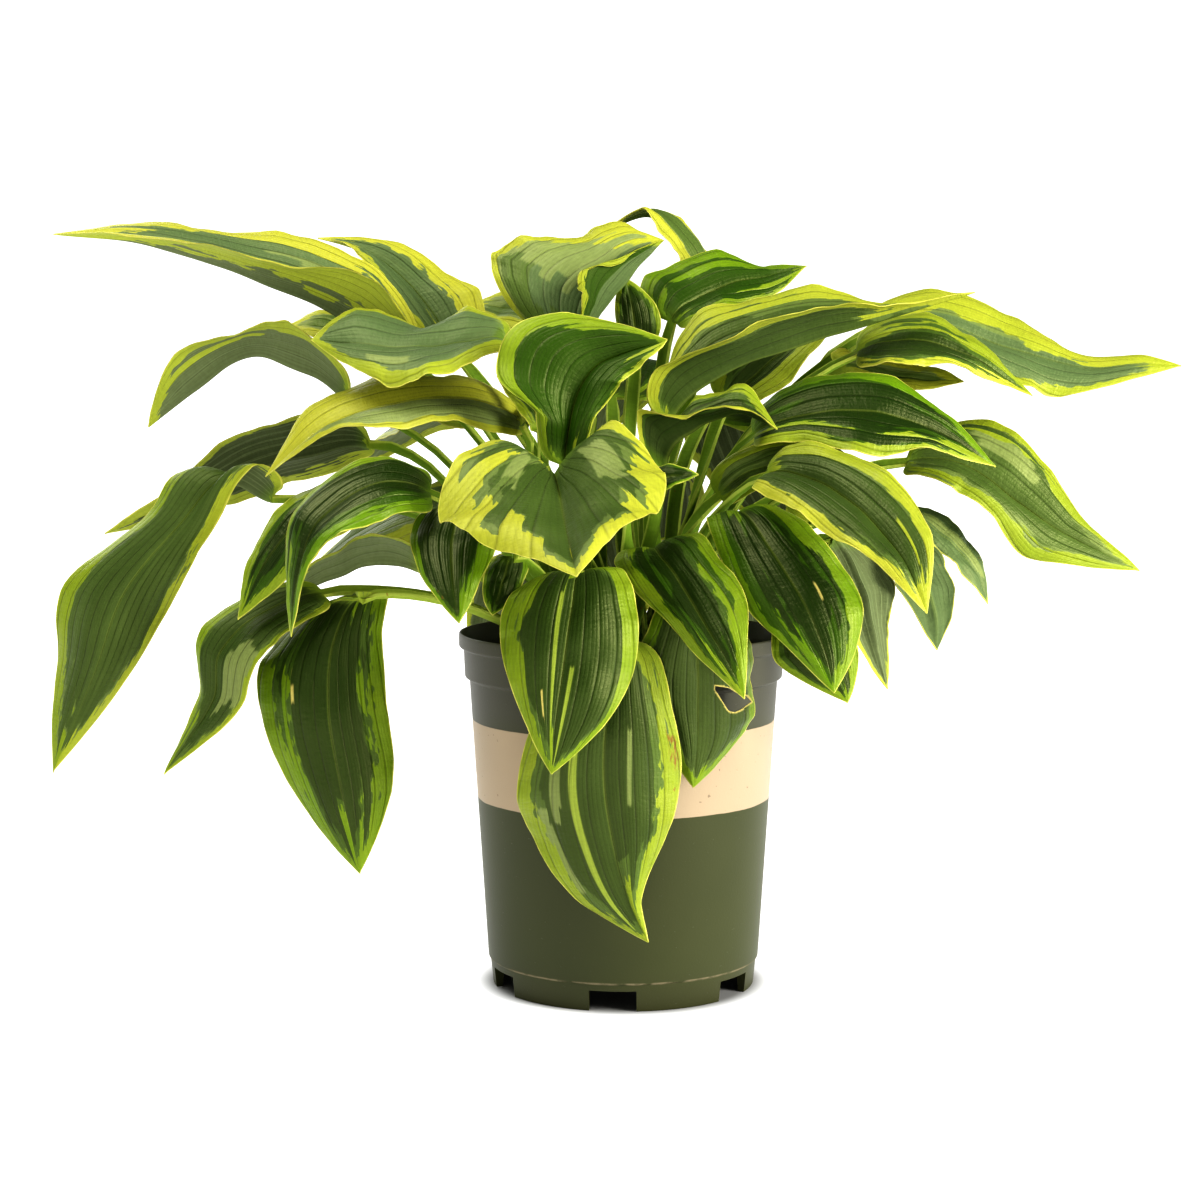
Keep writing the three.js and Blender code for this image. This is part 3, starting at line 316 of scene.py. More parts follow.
leaf("back_hang_right", (24, 208, 56), (36, 230, 82), (54, 110, 172),
     (46, 214, 120, 78, 208, 4, 14, 210, 8),
     (52, 178, 150, 80, 172, 2, 24, 176, 4),
     (54, 142, 166, 70, 140, 2, 38, 142, 2))
leaf("back_far", (4, 225, 60), (6, 262, 92), (6, 184, 189),
     (6, 262, 128, 40, 254, 6, -28, 254, 6),
     (6, 240, 158, 38, 232, 4, -26, 232, 4),
     (6, 212, 178, 22, 208, 2, -10, 208, 2))


# Geometry of a leaf, the same rules as the solids.
def sighted(x, z, depth):
    """A point in space, from x and z read on the upright plane y = 0 and its depth."""
    read = np.array([x, 0.0, z], float)
    return read + (EYE - read) * (depth / EYE[1])


def through(values, knots, at):
    """A smooth curve through values at rising knots; it keeps the end value outside them."""
    last = len(knots) - 1
    if at <= knots[0]:
        return np.array(values[0], float)
    if at >= knots[last]:
        return np.array(values[last], float)
    i = 0
    while at > knots[i + 1]:
        i += 1

    def slope(k):
        before, after = max(k - 1, 0), min(k + 1, last)
        return (values[after] - values[before]) / (knots[after] - knots[before])

    span = knots[i + 1] - knots[i]
    u = (at - knots[i]) / span
    return (
        values[i] * (2 * u**3 - 3 * u**2 + 1)
        + slope(i) * (u**3 - 2 * u**2 + u) * span
        + values[i + 1] * (3 * u**2 - 2 * u**3)
        + slope(i + 1) * (u**3 - u**2) * span
    )


def outline(s):
    """Share of the full half width at s along the blade."""
    base = math.sqrt(1 - (1 - s) ** OUTLINE_BASE_POWER)
    return base * (1 - s**OUTLINE_TIP_POWER) / OUTLINE_PEAK


def smooth(t):
    u = min(max(t, 0.0), 1.0)
    return u * u * (3 - 2 * u)


def unit(v):
    return v / np.linalg.norm(v)


def stand_stalks():
    """Gives every leaf its place in the crown, as the solids do."""
    places = []
    for i in range(len(LEAVES)):
        radius = CROWN_SPREAD * math.sqrt(i + 0.5)
        turn = i * GOLDEN_ANGLE
        places.append(np.array([radius * math.cos(turn), radius * math.sin(turn), 0.0]))
    places.reverse()
    for one in sorted(LEAVES, key=lambda each: sighted(*each.neck)[2]):
        toward = unit(sighted(*one.neck) * [1, 1, 0])
        best = max(range(min(CROWN_CHOICE, len(places))), key=lambda k: places[k] @ toward)
        one.foot = places.pop(best)


# The rows and columns of a solid leaf, and of a fine one, which has ripples, wings along its
# stalk and a buckled blade as well.
SOLID = SimpleNamespace(
    stalk_cuts=[0.3, 0.62, 0.86],
    blade_cuts=[0, 0.05, 0.16, 0.3, 0.46, 0.62, 0.77, 0.9, 1],
    across=np.array([-1, -0.5, 0, 0.5, 1]),
    tip_half=TIP_HALF_WIDTH, ripple=0, wing=0, buckle=0,
)
EVEN_CUTS = [i / FINE_BLADE_ROWS for i in range(FINE_BLADE_ROWS + 1)]
FINE = SimpleNamespace(
    stalk_cuts=[i / FINE_STALK_ROWS for i in range(1, FINE_STALK_ROWS)],
    blade_cuts=[(1 - ENDS_CLOSER) * t + ENDS_CLOSER * smooth(t) for t in EVEN_CUTS],
    across=np.linspace(-1, 1, FINE_ACROSS),
    tip_half=0.25, ripple=0.012, wing=1.0, buckle=1.3,
)


def midline(one):
    """The points along the middle of a leaf, its length up to each, and which is the neck."""
    x, y, _ = one.foot
    heights = (SOIL_MID_Z - PEG_DEPTH, SOIL_MID_Z + STRAIGHT_ABOVE_SOIL)
    points = [np.array([x, y, z]) for z in heights]
    points += [sighted(*one.stalk), sighted(*one.neck)]
    neck = len(points) - 1
    points += [sighted(*station[:3]) for station in one.stations]
    points.append(sighted(*one.tip))
    knots = [0.0]
    for before, after in zip(points, points[1:]):
        knots.append(knots[-1] + float(np.linalg.norm(after - before)))
    return points, knots, neck


def margin(one, shares, first):
    """How far a margin lies from the midrib at full width, at every station."""
    found = []
    for share, station in zip(shares, one.stations):
        x, z, farther = station[first : first + 3]
        edge = sighted(x, z, station[2] + farther)
        found.append((edge - sighted(*station[:3])) / outline(share))
    return found


def swing(turns):
    return math.sin(2 * math.pi * turns)


def buckles(s, across, phase):
    """A blade's unevenness, from -1 to 1, at the places across one of its rows."""
    long, broad, apart = BUCKLE_SCALE
    return np.array([noise.noise(Vector((long * s, broad * v, apart * phase))) for v in across])


def leaf_rows(one, cut):
    """The upper face of a leaf, foot to tip: points, thickness, half width and place along.

    s is the place along the blade, 0 at the neck, 1 at the tip and -1 all along the stalk, and
    v the place across, from -1 at margin a to 1 at margin b.
    """
    points, knots, neck = midline(one)
    soil_at, neck_at, end = knots[1], knots[neck], knots[-1]
    blade_long = end - neck_at

    def along(t):
        ahead = through(points, knots, min(t + 1, end))
        return unit(ahead - through(points, knots, max(t - 1, 0)))

    shares = [(knot - neck_at) / blade_long for knot in knots[neck + 1 : -1]]
    margin_a, margin_b = margin(one, shares, 3), margin(one, shares, 6)
    half_width = max(float(np.linalg.norm(m)) for m in margin_a + margin_b)
    outward = unit((sighted(*one.neck) - one.foot) * [1, 1, 0])
    stalk_side = np.cross([0, 0, 1], outward)
    neck_along = along(neck_at)
    neck_side = margin_b[0] - margin_a[0]
    neck_side = unit(neck_side - neck_along * (neck_side @ neck_along))

    stations = [(0.0, -1.0), (soil_at, -1.0)]
    stations += [(soil_at + (neck_at - soil_at) * c, -1.0) for c in cut.stalk_cuts]
    stations += [(neck_at + blade_long * s, s) for s in cut.blade_cuts]
    rows, thick, wide = [], [], []
    v = cut.across
    size = np.abs(v)
    column = v[:, None]
    for at, s in stations:
        middle = through(points, knots, at)
        direction = np.array([0.0, 0.0, 1.0]) if at <= soil_at else along(at)
        climb = min(max((at - soil_at) / (neck_at - soil_at), 0), 1)
        turn = smooth(climb * climb)
        side = stalk_side * (1 - turn) + neck_side * turn
        side = unit(side - direction * (side @ direction))
        up = np.cross(direction, side)
        if s < 0:
            half = STALK_HALF_WIDTH + (NECK_HALF_WIDTH - STALK_HALF_WIDTH) * climb
            half += cut.wing * math.sin(math.pi * climb)
            lift = STALK_CHANNEL * (v * v - 0.5) + STALK_THICK / 2
            rows.append(middle + column * side * half + lift[:, None] * up)
            thick.append(STALK_THICK)
            wide.append(np.full(len(v), half))
            continue
        width = outline(s)
        a = through(margin_a, shares, s) * width
        b = through(margin_b, shares, s) * width
        upper = np.cross(direction, b - a)
        upper = unit(upper) if upper @ upper > 1e-6 else unit(up)
        wave = WAVE_HEIGHT * half_width * swing(WAVE_COUNT * s + one.phase)
        crimp = sum(high * swing(count * s + shift * one.phase) for count, shift, high in CRIMPS)
        lift = 4 * HALF_BULGE * half_width * width * size * (1 - size)
        lift = lift + wave * width * size**3 * np.where(v < 0, 1, -1)
        lift = lift + cut.ripple * half_width * width * crimp * size**4
        if cut.buckle:
            lift = lift + cut.buckle * width * buckles(s, v, one.phase)
        stem = NECK_HALF_WIDTH * (1 - smooth(s / STEM_TO))
        stem = max(stem, TIP_HALF_WIDTH + (cut.tip_half - TIP_HALF_WIDTH) * s)
        lobe = LOBE_SWEEP * half_width * (1 - smooth(s / LOBE_END))
        row = middle + np.where(column < 0, a, b) * size[:, None]
        row = row + column * side * stem + lift[:, None] * upper
        rows.append(row - neck_along * (lobe * width * size**2)[:, None])
        thick.append(BLADE_THICK + (STALK_THICK - BLADE_THICK) * (1 - smooth(s / STALK_THICK_TO)))
        wide.append(np.maximum(np.where(v < 0, np.linalg.norm(a), np.linalg.norm(b)), stem))
    at, s = np.array(stations).T
    return SimpleNamespace(
        rows=np.array(rows), thick=np.array(thick)[:, None], wide=np.array(wide),
        at=at, s=s, along=at - neck_at, blade_long=blade_long,
    )


def on_plane(points):
    """Where the lines of sight of points cross the plane y = 0, as rows of x and z."""
    scale = EYE[1] / (EYE[1] - points[..., 1])
    read = [EYE[i] + (points[..., i] - EYE[i]) * scale for i in (0, 2)]
    return np.stack(read, -1)


def row_shifts(one, rows):
    """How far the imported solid's rows were moved along their lines of sight, row by row.

    The solid's vertices keep their lines of sight. So each row is looked up by these, and the
    shift that most of its points agree on is taken.
    """
    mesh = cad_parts["leaf_" + one.name].data
    flat = np.empty(len(mesh.vertices) * 3, np.float32)
    mesh.vertices.foreach_get("co", flat)
    solid = flat.reshape(-1, 3).astype(float) / MM
    seen = on_plane(solid)
    far = np.linalg.norm(solid - EYE, axis=1)
    shifts = []
    for row in rows:
        found = []
        for wanted, own in zip(on_plane(row), np.linalg.norm(row - EYE, axis=1)):
            near = np.linalg.norm(seen - wanted, axis=1) < SAME_SIGHT_MM
            found.append(far[near] - own)
        every = np.concatenate(found) if any(len(f) for f in found) else np.zeros(1)
        votes = [
            sum(bool(np.any(np.abs(f - value) < SAME_SHIFT_MM)) for f in found) for value in every
        ]
        shifts.append(float(every[int(np.argmax(votes))]))
    return np.array(shifts)


def mesh_object(name, vertices, faces, attributes=None):
    """A smooth-shaded mesh from millimetre vertices, with named vector attributes."""
    mesh = bpy.data.meshes.new(name)
    mesh.from_pydata((np.asarray(vertices) * MM).tolist(), [], faces)
    for key, values in (attributes or {}).items():
        layer = mesh.attributes.new(key, "FLOAT_VECTOR", "POINT")
        layer.data.foreach_set("vector", np.asarray(values, np.float32).ravel())
    mesh.shade_smooth()
    mesh.set_sharp_from_angle(angle=math.radians(SHARP_DEG))
    made = bpy.data.objects.new(name, mesh)
    bpy.context.scene.collection.objects.link(made)
    return made


def sides_of(points):
    """The sides of a closed outline, each as its two ends."""
    return zip(points, np.roll(points, -1, axis=0))


def nearest_on(hole, point):
    """The nearest point on a closed outline."""
    best, found = np.inf, point
    for first, after in sides_of(hole):
        way = after - first
        here = first + way * np.clip((point - first) @ way / (way @ way), 0, 1)
        if np.linalg.norm(here - point) < best:
            best, found = np.linalg.norm(here - point), here
    return found


def is_inside(hole, point):
    inside = False
    for first, after in sides_of(hole):
        if (first[1] > point[1]) != (after[1] > point[1]):
            share = (point[1] - first[1]) / (after[1] - first[1])
            if point[0] < first[0] + share * (after[0] - first[0]):
                inside = not inside
    return inside


def bite(rows, under):
    """The cells that a bite takes, and how torn each vertex is; it moves the hole's edge."""
    hole = np.array(BITE, float)
    tall, broad = rows.shape[:2]
    seen = on_plane(rows)
    gone = set()
    for k in range(tall - 1):
        for j in range(broad - 1):
            if is_inside(hole, seen[k : k + 2, j : j + 2].mean((0, 1))):
                gone.add((k, j))
    torn = np.zeros((tall, broad))
    moves = {}
    for k in range(1, tall - 1):
        for j in range(1, broad - 1):
            around = [(k - 1, j - 1), (k - 1, j), (k, j - 1), (k, j)]
            if sum(cell in gone for cell in around) in (0, 4):
                continue
            torn[k, j] = 1
            along_row = rows[k + 1, j] - rows[k - 1, j]
            across_row = rows[k, j + 1] - rows[k, j - 1]
            matrix = np.stack([seen[k + 1, j] - seen[k - 1, j], seen[k, j + 1] - seen[k, j - 1]], 1)
            step = np.linalg.solve(matrix, nearest_on(hole, seen[k, j]) - seen[k, j])
            moves[k, j] = along_row * step[0] + across_row * step[1]
    for place, move in moves.items():
        rows[place] += move
        under[place] += move
    return gone, torn


def leaf_faces(tall, broad, gone):
    """A closed skin of an upper and an under sheet, without the cells that are gone."""
    low = tall * broad
    faces = []

    def wall(first, after):
        faces.append((first, after, low + after, low + first))

    for k in range(tall - 1):
        for j in range(broad - 1):
            if (k, j) in gone:
                continue
            a, b = k * broad + j, (k + 1) * broad + j
            faces.append((a, b, b + 1, a + 1))
            faces.append((low + a, low + a + 1, low + b + 1, low + b))
    for k, j in gone:
        corners = [(k, j), (k, j + 1), (k + 1, j + 1), (k + 1, j)]
        corners = [row * broad + column for row, column in corners]
        beside = [(k - 1, j), (k, j + 1), (k + 1, j), (k, j - 1)]
        for i, other in enumerate(beside):
            if other not in gone:
                wall(corners[i], corners[(i + 1) % 4])
    for k in range(tall - 1):
        first, over = k * broad, (k + 1) * broad
        faces.append((first, low + first, low + over, over))
        wall(first + broad - 1, over + broad - 1)
    top = (tall - 1) * broad
    for j in range(broad - 1):
        wall(j, j + 1)
        faces.append((top + j, low + top + j, low + top + j + 1, top + j + 1))
    return faces


def leaf_object(one):
    """The fine leaf, on the solid's own rows."""
    solid = leaf_rows(one, SOLID)
    shifts = row_shifts(one, solid.rows)
    fine = one.fine = leaf_rows(one, FINE)
    rows, across = fine.rows, FINE.across
    for k, at in enumerate(fine.at):
        sight = rows[k] - EYE
        shift = through(shifts, solid.at, at)
        rows[k] += sight / np.linalg.norm(sight, axis=1)[:, None] * shift

    ahead = np.concatenate([rows[1:], rows[-1:]])
    behind = np.concatenate([rows[:1], rows[:-1]])
    right = np.concatenate([rows[:, 1:], rows[:, -1:]], axis=1)
    left = np.concatenate([rows[:, :1], rows[:, :-1]], axis=1)
    normal = np.cross(ahead - behind, right - left)
    normal /= np.maximum(np.linalg.norm(normal, axis=2, keepdims=True), 1e-9)
    size = np.abs(across)
    s = fine.s[:, None]
    on_stalk = s < 0
    rounded = np.sqrt(np.maximum(1 - STALK_ROUNDNESS * size**2, 0))[None, :]
    stalk_thick = fine.thick * (STALK_EDGE_THICK + (1 - STALK_EDGE_THICK) * rounded)
    share = np.clip((fine.thick - BLADE_THICK) / (STALK_THICK - BLADE_THICK), 0, 1)
    blade_thick = FINE_THICK * (1 - EDGE_THINNING * size**6)[None, :]
    rib = RIB_HEIGHT * np.exp(-((across[None, :] * fine.wide / RIB_HALF_WIDTH) ** 2))
    rib = rib * (1 - np.clip(s, 0, 1))
    blade_thick = blade_thick + share * (stalk_thick - FINE_THICK) + rib
    under = rows - normal * np.where(on_stalk, stalk_thick, blade_thick)[..., None]

    tall, broad = rows.shape[:2]
    gone, torn = set(), np.zeros((tall, broad))
    if one.name == BITTEN_LEAF:
        gone, torn = bite(rows, under)

    def sheet(first, second, third):
        """A vector for every vertex, row by row, from three numbers or grids."""
        grids = [np.broadcast_to(part, (tall, broad)) for part in (first, second, third)]
        return np.stack(grids, -1).reshape(-1, 3)

    place = sheet(np.where(on_stalk, 0, s), across, fine.wide)
    along = fine.along[:, None]
    stalk = 1 - np.clip((along - STALK_SKIN_TO) / STALK_SKIN_FADE, 0, 1)
    edge = sheet(*margin_reach(LOOKS[one.name], fine.s, across), torn)
    return mesh_object(
        "hosta_" + one.name,
        np.concatenate([rows.reshape(-1, 3), under.reshape(-1, 3)]),
        leaf_faces(tall, broad, gone),
        {
            "leaf_place": np.concatenate([place, place]),
            "leaf_more": np.concatenate([sheet(along, 0, stalk), sheet(along, 1, stalk)]),
            "leaf_edge": np.concatenate([edge, edge]),
        },
    )


# Materials.
def tint(red, green, blue):
    """A colour given in screen values from 0 to 255, as the shader's linear values."""
    linear = []
    for value in (red, green, blue):
        c = value / 255
        linear.append(c / 12.92 if c <= 0.04045 else ((c + 0.055) / 1.055) ** 2.4)
    return (*linear, 1.0)


def operator(operation, swapped=False):
    """A method that stands for one operation of the math node."""
    def apply(self, other=0.0):
        pair = (other, self) if swapped else (self, other)
        return self.shade.math(operation, *pair)

    return apply


class Value:
    """A number that a material works out. It takes part in sums as a plain number does."""

    __add__ = operator("ADD")
    __sub__ = operator("SUBTRACT")
    __rsub__ = operator("SUBTRACT", swapped=True)
    __mul__ = operator("MULTIPLY")
    __truediv__ = operator("DIVIDE")
    __pow__ = operator("POWER")
    __abs__ = operator("ABSOLUTE")
    floor = operator("FLOOR")

    def __init__(self, shade, socket):
        self.shade = shade
        self.socket = socket

    def line(self, slope, start):
        """start plus slope times the value."""
        return self.shade.math("MULTIPLY_ADD", self, slope, start)

    def zigzag(self):
        """0 at every whole number and 1 halfway between two."""
        return self.shade.math("PINGPONG", self, 0.5) * 2.0

    def rise(self, low, high, start=0.0, end=1.0):
        """start below low, end above high, and a smooth step between."""
        inputs = {0: self, 1: low, 2: high, 3: start, 4: end}
        return self.shade.value("MapRange", inputs, interpolation_type="SMOOTHSTEP")

    def fall(self, low, high):
        """1 below low, 0 above high, and a smooth step between."""
        return self.rise(low, high, 1.0, 0.0)

    def within(self, low, high, soft):
        """1 between low and high and 0 outside, with soft ends."""
        return self.rise(low - soft, low + soft) * self.fall(high - soft, high + soft)

    def luck(self):
        """A random number from 0 to 1 that depends on the value alone."""
        return self.shade.value("TexWhiteNoise", {"W": self}, "Value", noise_dimensions="1D")


class Shade:
    """The nodes of one material, or of the world, with short calls to add more."""

    def __init__(self, owner):
        owner.use_nodes = True
        self.owner = owner
        self.nodes = owner.node_tree.nodes
        self.links = owner.node_tree.links

    def set(self, socket, value):
        if isinstance(value, Value):
            value = value.socket
        if isinstance(value, bpy.types.NodeSocket):
            self.links.new(value, socket)
        else:
            socket.default_value = value

    def node(self, kind, inputs, output=0, **settings):
        """Adds a node and returns the socket of one of its outputs."""
        made = self.nodes.new("ShaderNode" + kind)
        for key, value in settings.items():
            setattr(made, key, value)
        for key, value in inputs.items():
            self.set(made.inputs[key], value)
        return made.outputs[output]

    def value(self, kind, inputs, output=0, **settings):
        return Value(self, self.node(kind, inputs, output, **settings))

    def split(self, vector):
        """The three numbers of a vector."""
        outputs = self.node("SeparateXYZ", {0: vector}).node.outputs
        return [Value(self, socket) for socket in outputs]

    def attribute(self, name):
        return self.split(self.node("Attribute", {}, "Vector", attribute_name=name))

    def place(self):
        return self.node("TexCoord", {}, "Object")

    def math(self, operation, a, b=0.0, c=0.0):
        return self.value("Math", {0: a, 1: b, 2: c}, operation=operation)

    def vector(self, x, y, z):
        return self.node("CombineXYZ", {0: x, 1: y, 2: z})

    def noise(self, vector, scale, detail=2.0, roughness=0.5):
        inputs = {"Vector": vector, "Scale": scale, "Detail": detail, "Roughness": roughness}
        return self.value("TexNoise", inputs)

    def mix(self, factor, a, b):
        return self.node("Mix", {0: factor, 6: a, 7: b}, 2, data_type="RGBA")

    def scale_colour(self, colour, factor):
        return self.node("VectorMath", {0: colour, "Scale": factor}, operation="SCALE")

    def bump(self, height, distance):
        return self.node("Bump", {"Height": height, "Distance": distance})

    def surface(self, inputs):
        """Joins the values to the surface's own inputs, by name, and returns the material."""
        for key, value in inputs.items():
            self.set(self.nodes["Principled BSDF"].inputs[key], value)
        return self.owner


DEEP_GREEN = tint(26, 50, 4)
FRESH_GREEN = tint(46, 78, 6)
MID_GREEN = tint(60, 94, 8)
# The blue, sea and grey greens stand partly for the leaves' own blue-grey and partly for painted
# reflection of the overhead light.
BLUE_GREEN = tint(86, 106, 50)
SEA_GREEN = tint(94, 113, 74)
GREY_GREEN = tint(136, 148, 88)
PALE_GREEN = tint(160, 176, 70)
LIME = tint(96, 130, 10)
YELLOW = tint(178, 178, 62)
RIM_LINE = tint(222, 214, 108)
UNDER_DARK = tint(54, 66, 38)
UNDER_LIGHT = tint(126, 138, 98)
UNDER_YELLOW = tint(166, 176, 66)
STALK_GREEN = tint(108, 136, 42)
STALK_PALE = tint(158, 176, 72)
STALK_EDGE = tint(176, 190, 90)
BROWN = tint(132, 88, 36)
SCAR = tint(206, 190, 110)
GLOSS_TINT = (1.0, 1.0, 0.5, 1.0)

# Patches that recolour the green middle, in the order they are laid: colour and strength.
# Sea and pale patches are partly the leaves' own blue-grey and partly painted reflection of the
# overhead light.
PATCHES = {
    "sea": (SEA_GREEN, 0.8),
    "pale": (GREY_GREEN, 0.75),
    "green": (FRESH_GREEN, 0.9),
    "streak": (PALE_GREEN, 0.8),
}

# Veins: their spacing, their number on each side, and how they fan out at a heart's base.
VEIN_SPACING = 7.2
FEWEST_VEINS = 4
MOST_VEINS = 7
VEIN_BEND = 0.35
FAN_FROM = 0.5
FAN_BACK = 8.0
FAN_ANGLE = 1.35
THREADS = 4

# Random numbers: steps between leaves, and between the two sides of a leaf.
SEED_STEP = 17.31
LANE_APART = 31.0
TEETH_APART = 47.0

# The yellow margin: places of its widths, its fingers and teeth for each vein, soft edges.
EDGE_AT = (0.05, 0.35, 0.65, 0.95)
LANES_PER_VEIN = 1.5
TEETH_PER_VEIN = 5.0
FINGER_FULL_WIDTH = 34.0
TIP_REACH = 1.3
TIP_BLEND = 6.0
MARGIN_SOFT = 0.3
HALO_SOFT = 0.5
PATCH_SOFT_ACROSS = 0.012
PATCH_SOFT_ALONG = 0.01

# Painted shade, and relief. Heights are shares of the bump's distance in metres.
# How much painted shade darkens the vein valleys, on plain and on ribbed leaves, and the threads.
VALLEY_SHADE = 0.22
RIBBED_VALLEY_SHADE = 0.3
THREAD_SHADE = 0.09
THREAD_DEPTH = 0.24
# Painted shade on the stalks near the crown: where it is full and where it ends, in mm along the leaf,
# and how much it darkens.
STALK_SHADE_FULL_TO = -150
STALK_SHADE_GONE_FROM = -40
STALK_SHADE_DEPTH = 0.45
LEAF_BUMP = 0.00036
LOOKS = {}


@dataclass
class Look:
    """How one leaf is coloured.

    a and b are the widths in mm of the yellow margins at the places EDGE_AT from base to tip,
    and tones says how yellow each is. Fingers and halo are lengths in mm, the halo being the
    half-toned zone inside the margin. Blue is how blue the middle is, partly the leaf's own
    blue-grey and partly painted reflection of the overhead light. Under is how light the
    underside is, and gloss how shiny the leaf is. A patch is (kind, v0, v1, s0, s1). Bend is how
    much the veins run out into the margin, and inside_out colours the underside like the top.
    Ribs is the number of veins on each side, or 0 to take it from the leaf's width. The last
    field is how pale the stalk is drawn, painted light on a stalk that lies in shade.
    """

    a: tuple
    b: tuple
    tones: tuple = (0.5, 0.5)
    fingers: float = 5
    halo: float = 4
    blue: float = 0.3
    under: float = 0.5
    gloss: float = 0.3
    patches: list | tuple = ()
    bend: float = VEIN_BEND
    inside_out: bool = False
    ribs: int = 0
    pale_stalk: float = 0.0


def look(name, *values, **more):
    LOOKS[name] = Look(*values, **more)


look("left_long", (6, 10, 8, 5), (26, 26, 20, 9), (1.0, 0.95), 7, 6, 1.1, 0.5, 0.2,
     [("sea", -0.95, 0.0, 0.05, 0.9), ("pale", -0.5, -0.12, 0.1, 0.4)], ribs=7)
look("left_behind", (15, 14, 10, 4), (5, 5, 4, 3), (1.0, 0.8), 12, 7, 1.0, 0.5, 0.2,
     [("sea", -0.6, 0.9, 0.05, 0.9)])
look("left_arch", (6, 6, 6, 4), (5, 7, 9, 7), (0.6, 0.55), 7, 4, 0.8, 0.6, 0.1, ribs=6)
look("left_small", (9, 9, 6, 4), (8, 8, 6, 4), (0.9, 0.9), 5, 3, 1.2)
look("left_face", (7, 1.5, 3, 5), (3, 2.5, 6, 6), (0.6, 0.55), 5, 4, 1.3, 0.6, 0.1,
     [("sea", -0.95, 0.95, 0.02, 0.95), ("pale", 0.45, 0.62, 0.5, 0.72)])
# left_yellow's raised tones and its pale patch over the b half are painted light on the half that lies
# in its own shade.
look("left_yellow", (60, 60, 40, 9), (1.5, 1.5, 2, 3), (1.1, 0.9), 4, 3, 1.3, 0.6, 0.3,
     [("yellow", -0.02, 0.26, 0.0, 0.72), ("pale", 0.2, 1.0, 0.0, 0.9)])
look("left_dark", (4, 4, 4, 3), (4, 3, 5, 3), (0.2, 0.2), 4, 2, 0.3, 0.0, 0.1, ribs=7)
look("left_droop", (3, 4, 9, 3), (2, 2, 3, 5), (0.3, 0.6), 6, 2, 0.75, 0.3, 0.2, ribs=8)
look("left_under", (6, 6, 5, 3), (5, 5, 5, 3), (0.3, 0.3), 6, 8, 0.0, 0.4, 0.5)
look("left_gloss", (3, 4, 3, 2), (2, 2, 2, 1.5), (0.15, 0.0), 5, 6, 0.0, 0.2, 0.75)
look("left_grey", (3, 3, 3, 2), (3, 3, 3, 2), (0.5, 0.5), 3, 3, 1.2, 1.0, 0.1, pale_stalk=0.8)
look("left_twist", (5, 4, 2, 1.5), (2, 2, 2, 2), (0.25, 0.4), 4, 4, 0.5, 0.5, 0.2,
     [("pale", 0.25, 1.0, 0.42, 0.66)], ribs=6, pale_stalk=0.8)
look("left_hanging", (8, 10, 9, 4), (5, 8, 8, 4), (0.12, 0.15), 11, 6, 0.2, 0.4, 0.4,
     [("scar", -0.5, -0.46, 0.3, 0.36)], ribs=6, pale_stalk=0.9)
look("left_inner", (2, 2, 2, 2), (2, 4, 5, 2), (0.05, 0.05), 5, 3, 0.05, 0.4, 0.5)
look("left_torn", (2, 2, 2, 1), (2, 2, 2, 1), (0.1, 0.1), 3, 3, 0.0)
look("back_hang_left", (2, 2, 3, 2), (2, 2, 3, 2), (0.2, 0.2), 3, 3, 0.1, 0.1, 0.2)
look("back_hang_right", (2, 2, 3, 2), (2, 2, 3, 2), (0.2, 0.2), 3, 3, 0.1, 0.1, 0.2)
look("back_right", (3, 3, 4, 3), (3, 3, 4, 3), (0.2, 0.2), 4, 3, 0.0, 0.0, 0.3)
look("back_far", (3, 4, 5, 3), (3, 4, 5, 3), (0.4, 0.4), 5, 3, 0.1, 0.0, 0.3)
look("front_heart", (5, 8, 7, 5), (4, 6, 8, 5), (0.88, 0.85), 15, 7, 0.75, 0.5, 0.2,
     [("pale", 0.38, 0.66, 0.12, 0.34), ("pale", -0.5, -0.36, 0.14, 0.3)], 0.6)
look("front_funnel", (1, 1, 1.5, 1.5), (5, 9, 8, 3), (0.5, 0.25), 4, 6, 0.0, 0.3, 0.3,
     [("green", -1.0, 1.0, 0.0, 1.0)])
look("front_bud", (3, 3, 3, 2), (3, 3, 3, 2), (0.4, 0.4), 3, 3, 0.2)
look("front_centre", (9, 4, 3, 3), (8, 3.5, 3, 3), (0.25, 0.22), 7, 4, 0.35, 0.5, 0.25,
     [("streak", -0.19, -0.13, 0.1, 0.95), ("streak", 0.1, 0.16, 0.45, 0.95),
      ("scar", -0.4, -0.36, 0.58, 0.7)])
look("front_low", (7, 8, 8, 4), (2, 2, 3, 3), (0.4, 0.4), 7, 7, 0.35, 0.5, 0.4,
     [("streak", -0.4, -0.31, 0.05, 0.9), ("pale", -0.62, -0.5, 0.2, 0.5),
      ("pale", -0.78, -0.66, 0.5, 0.75), ("pale", 0.3, 0.36, 0.2, 0.45),
      ("brown", 0.84, 0.96, 0.3, 0.42)])
look("front_right", (8, 9, 7, 3), (3, 6, 7, 3), (0.25, 0.18), 6, 5, 0.05, 0.5, 0.5)
look("front_bitten", (3, 3, 3, 5), (3, 4, 4, 5), (0.15, 0.15), 4, 4, 0.45, 0.5, 0.4)
look("front_vee", (3, 3, 3, 2), (5, 6, 6, 3), (0.8, 0.4), 4, 4, 0.15, 0.3, 0.3, inside_out=True)
look("front_small", (1, 1, 1, 1), (1, 1, 1, 1), (0.05, 0.05), 1, 1, 0.0, 0.2, 0.1)
look("right_drop", (5, 5, 4, 3), (10, 10, 8, 4), (0.06, 0.14), 7, 6, 0.0, 0.5, 0.45,
     [("scar", 0.3, 0.34, 0.52, 0.6)])
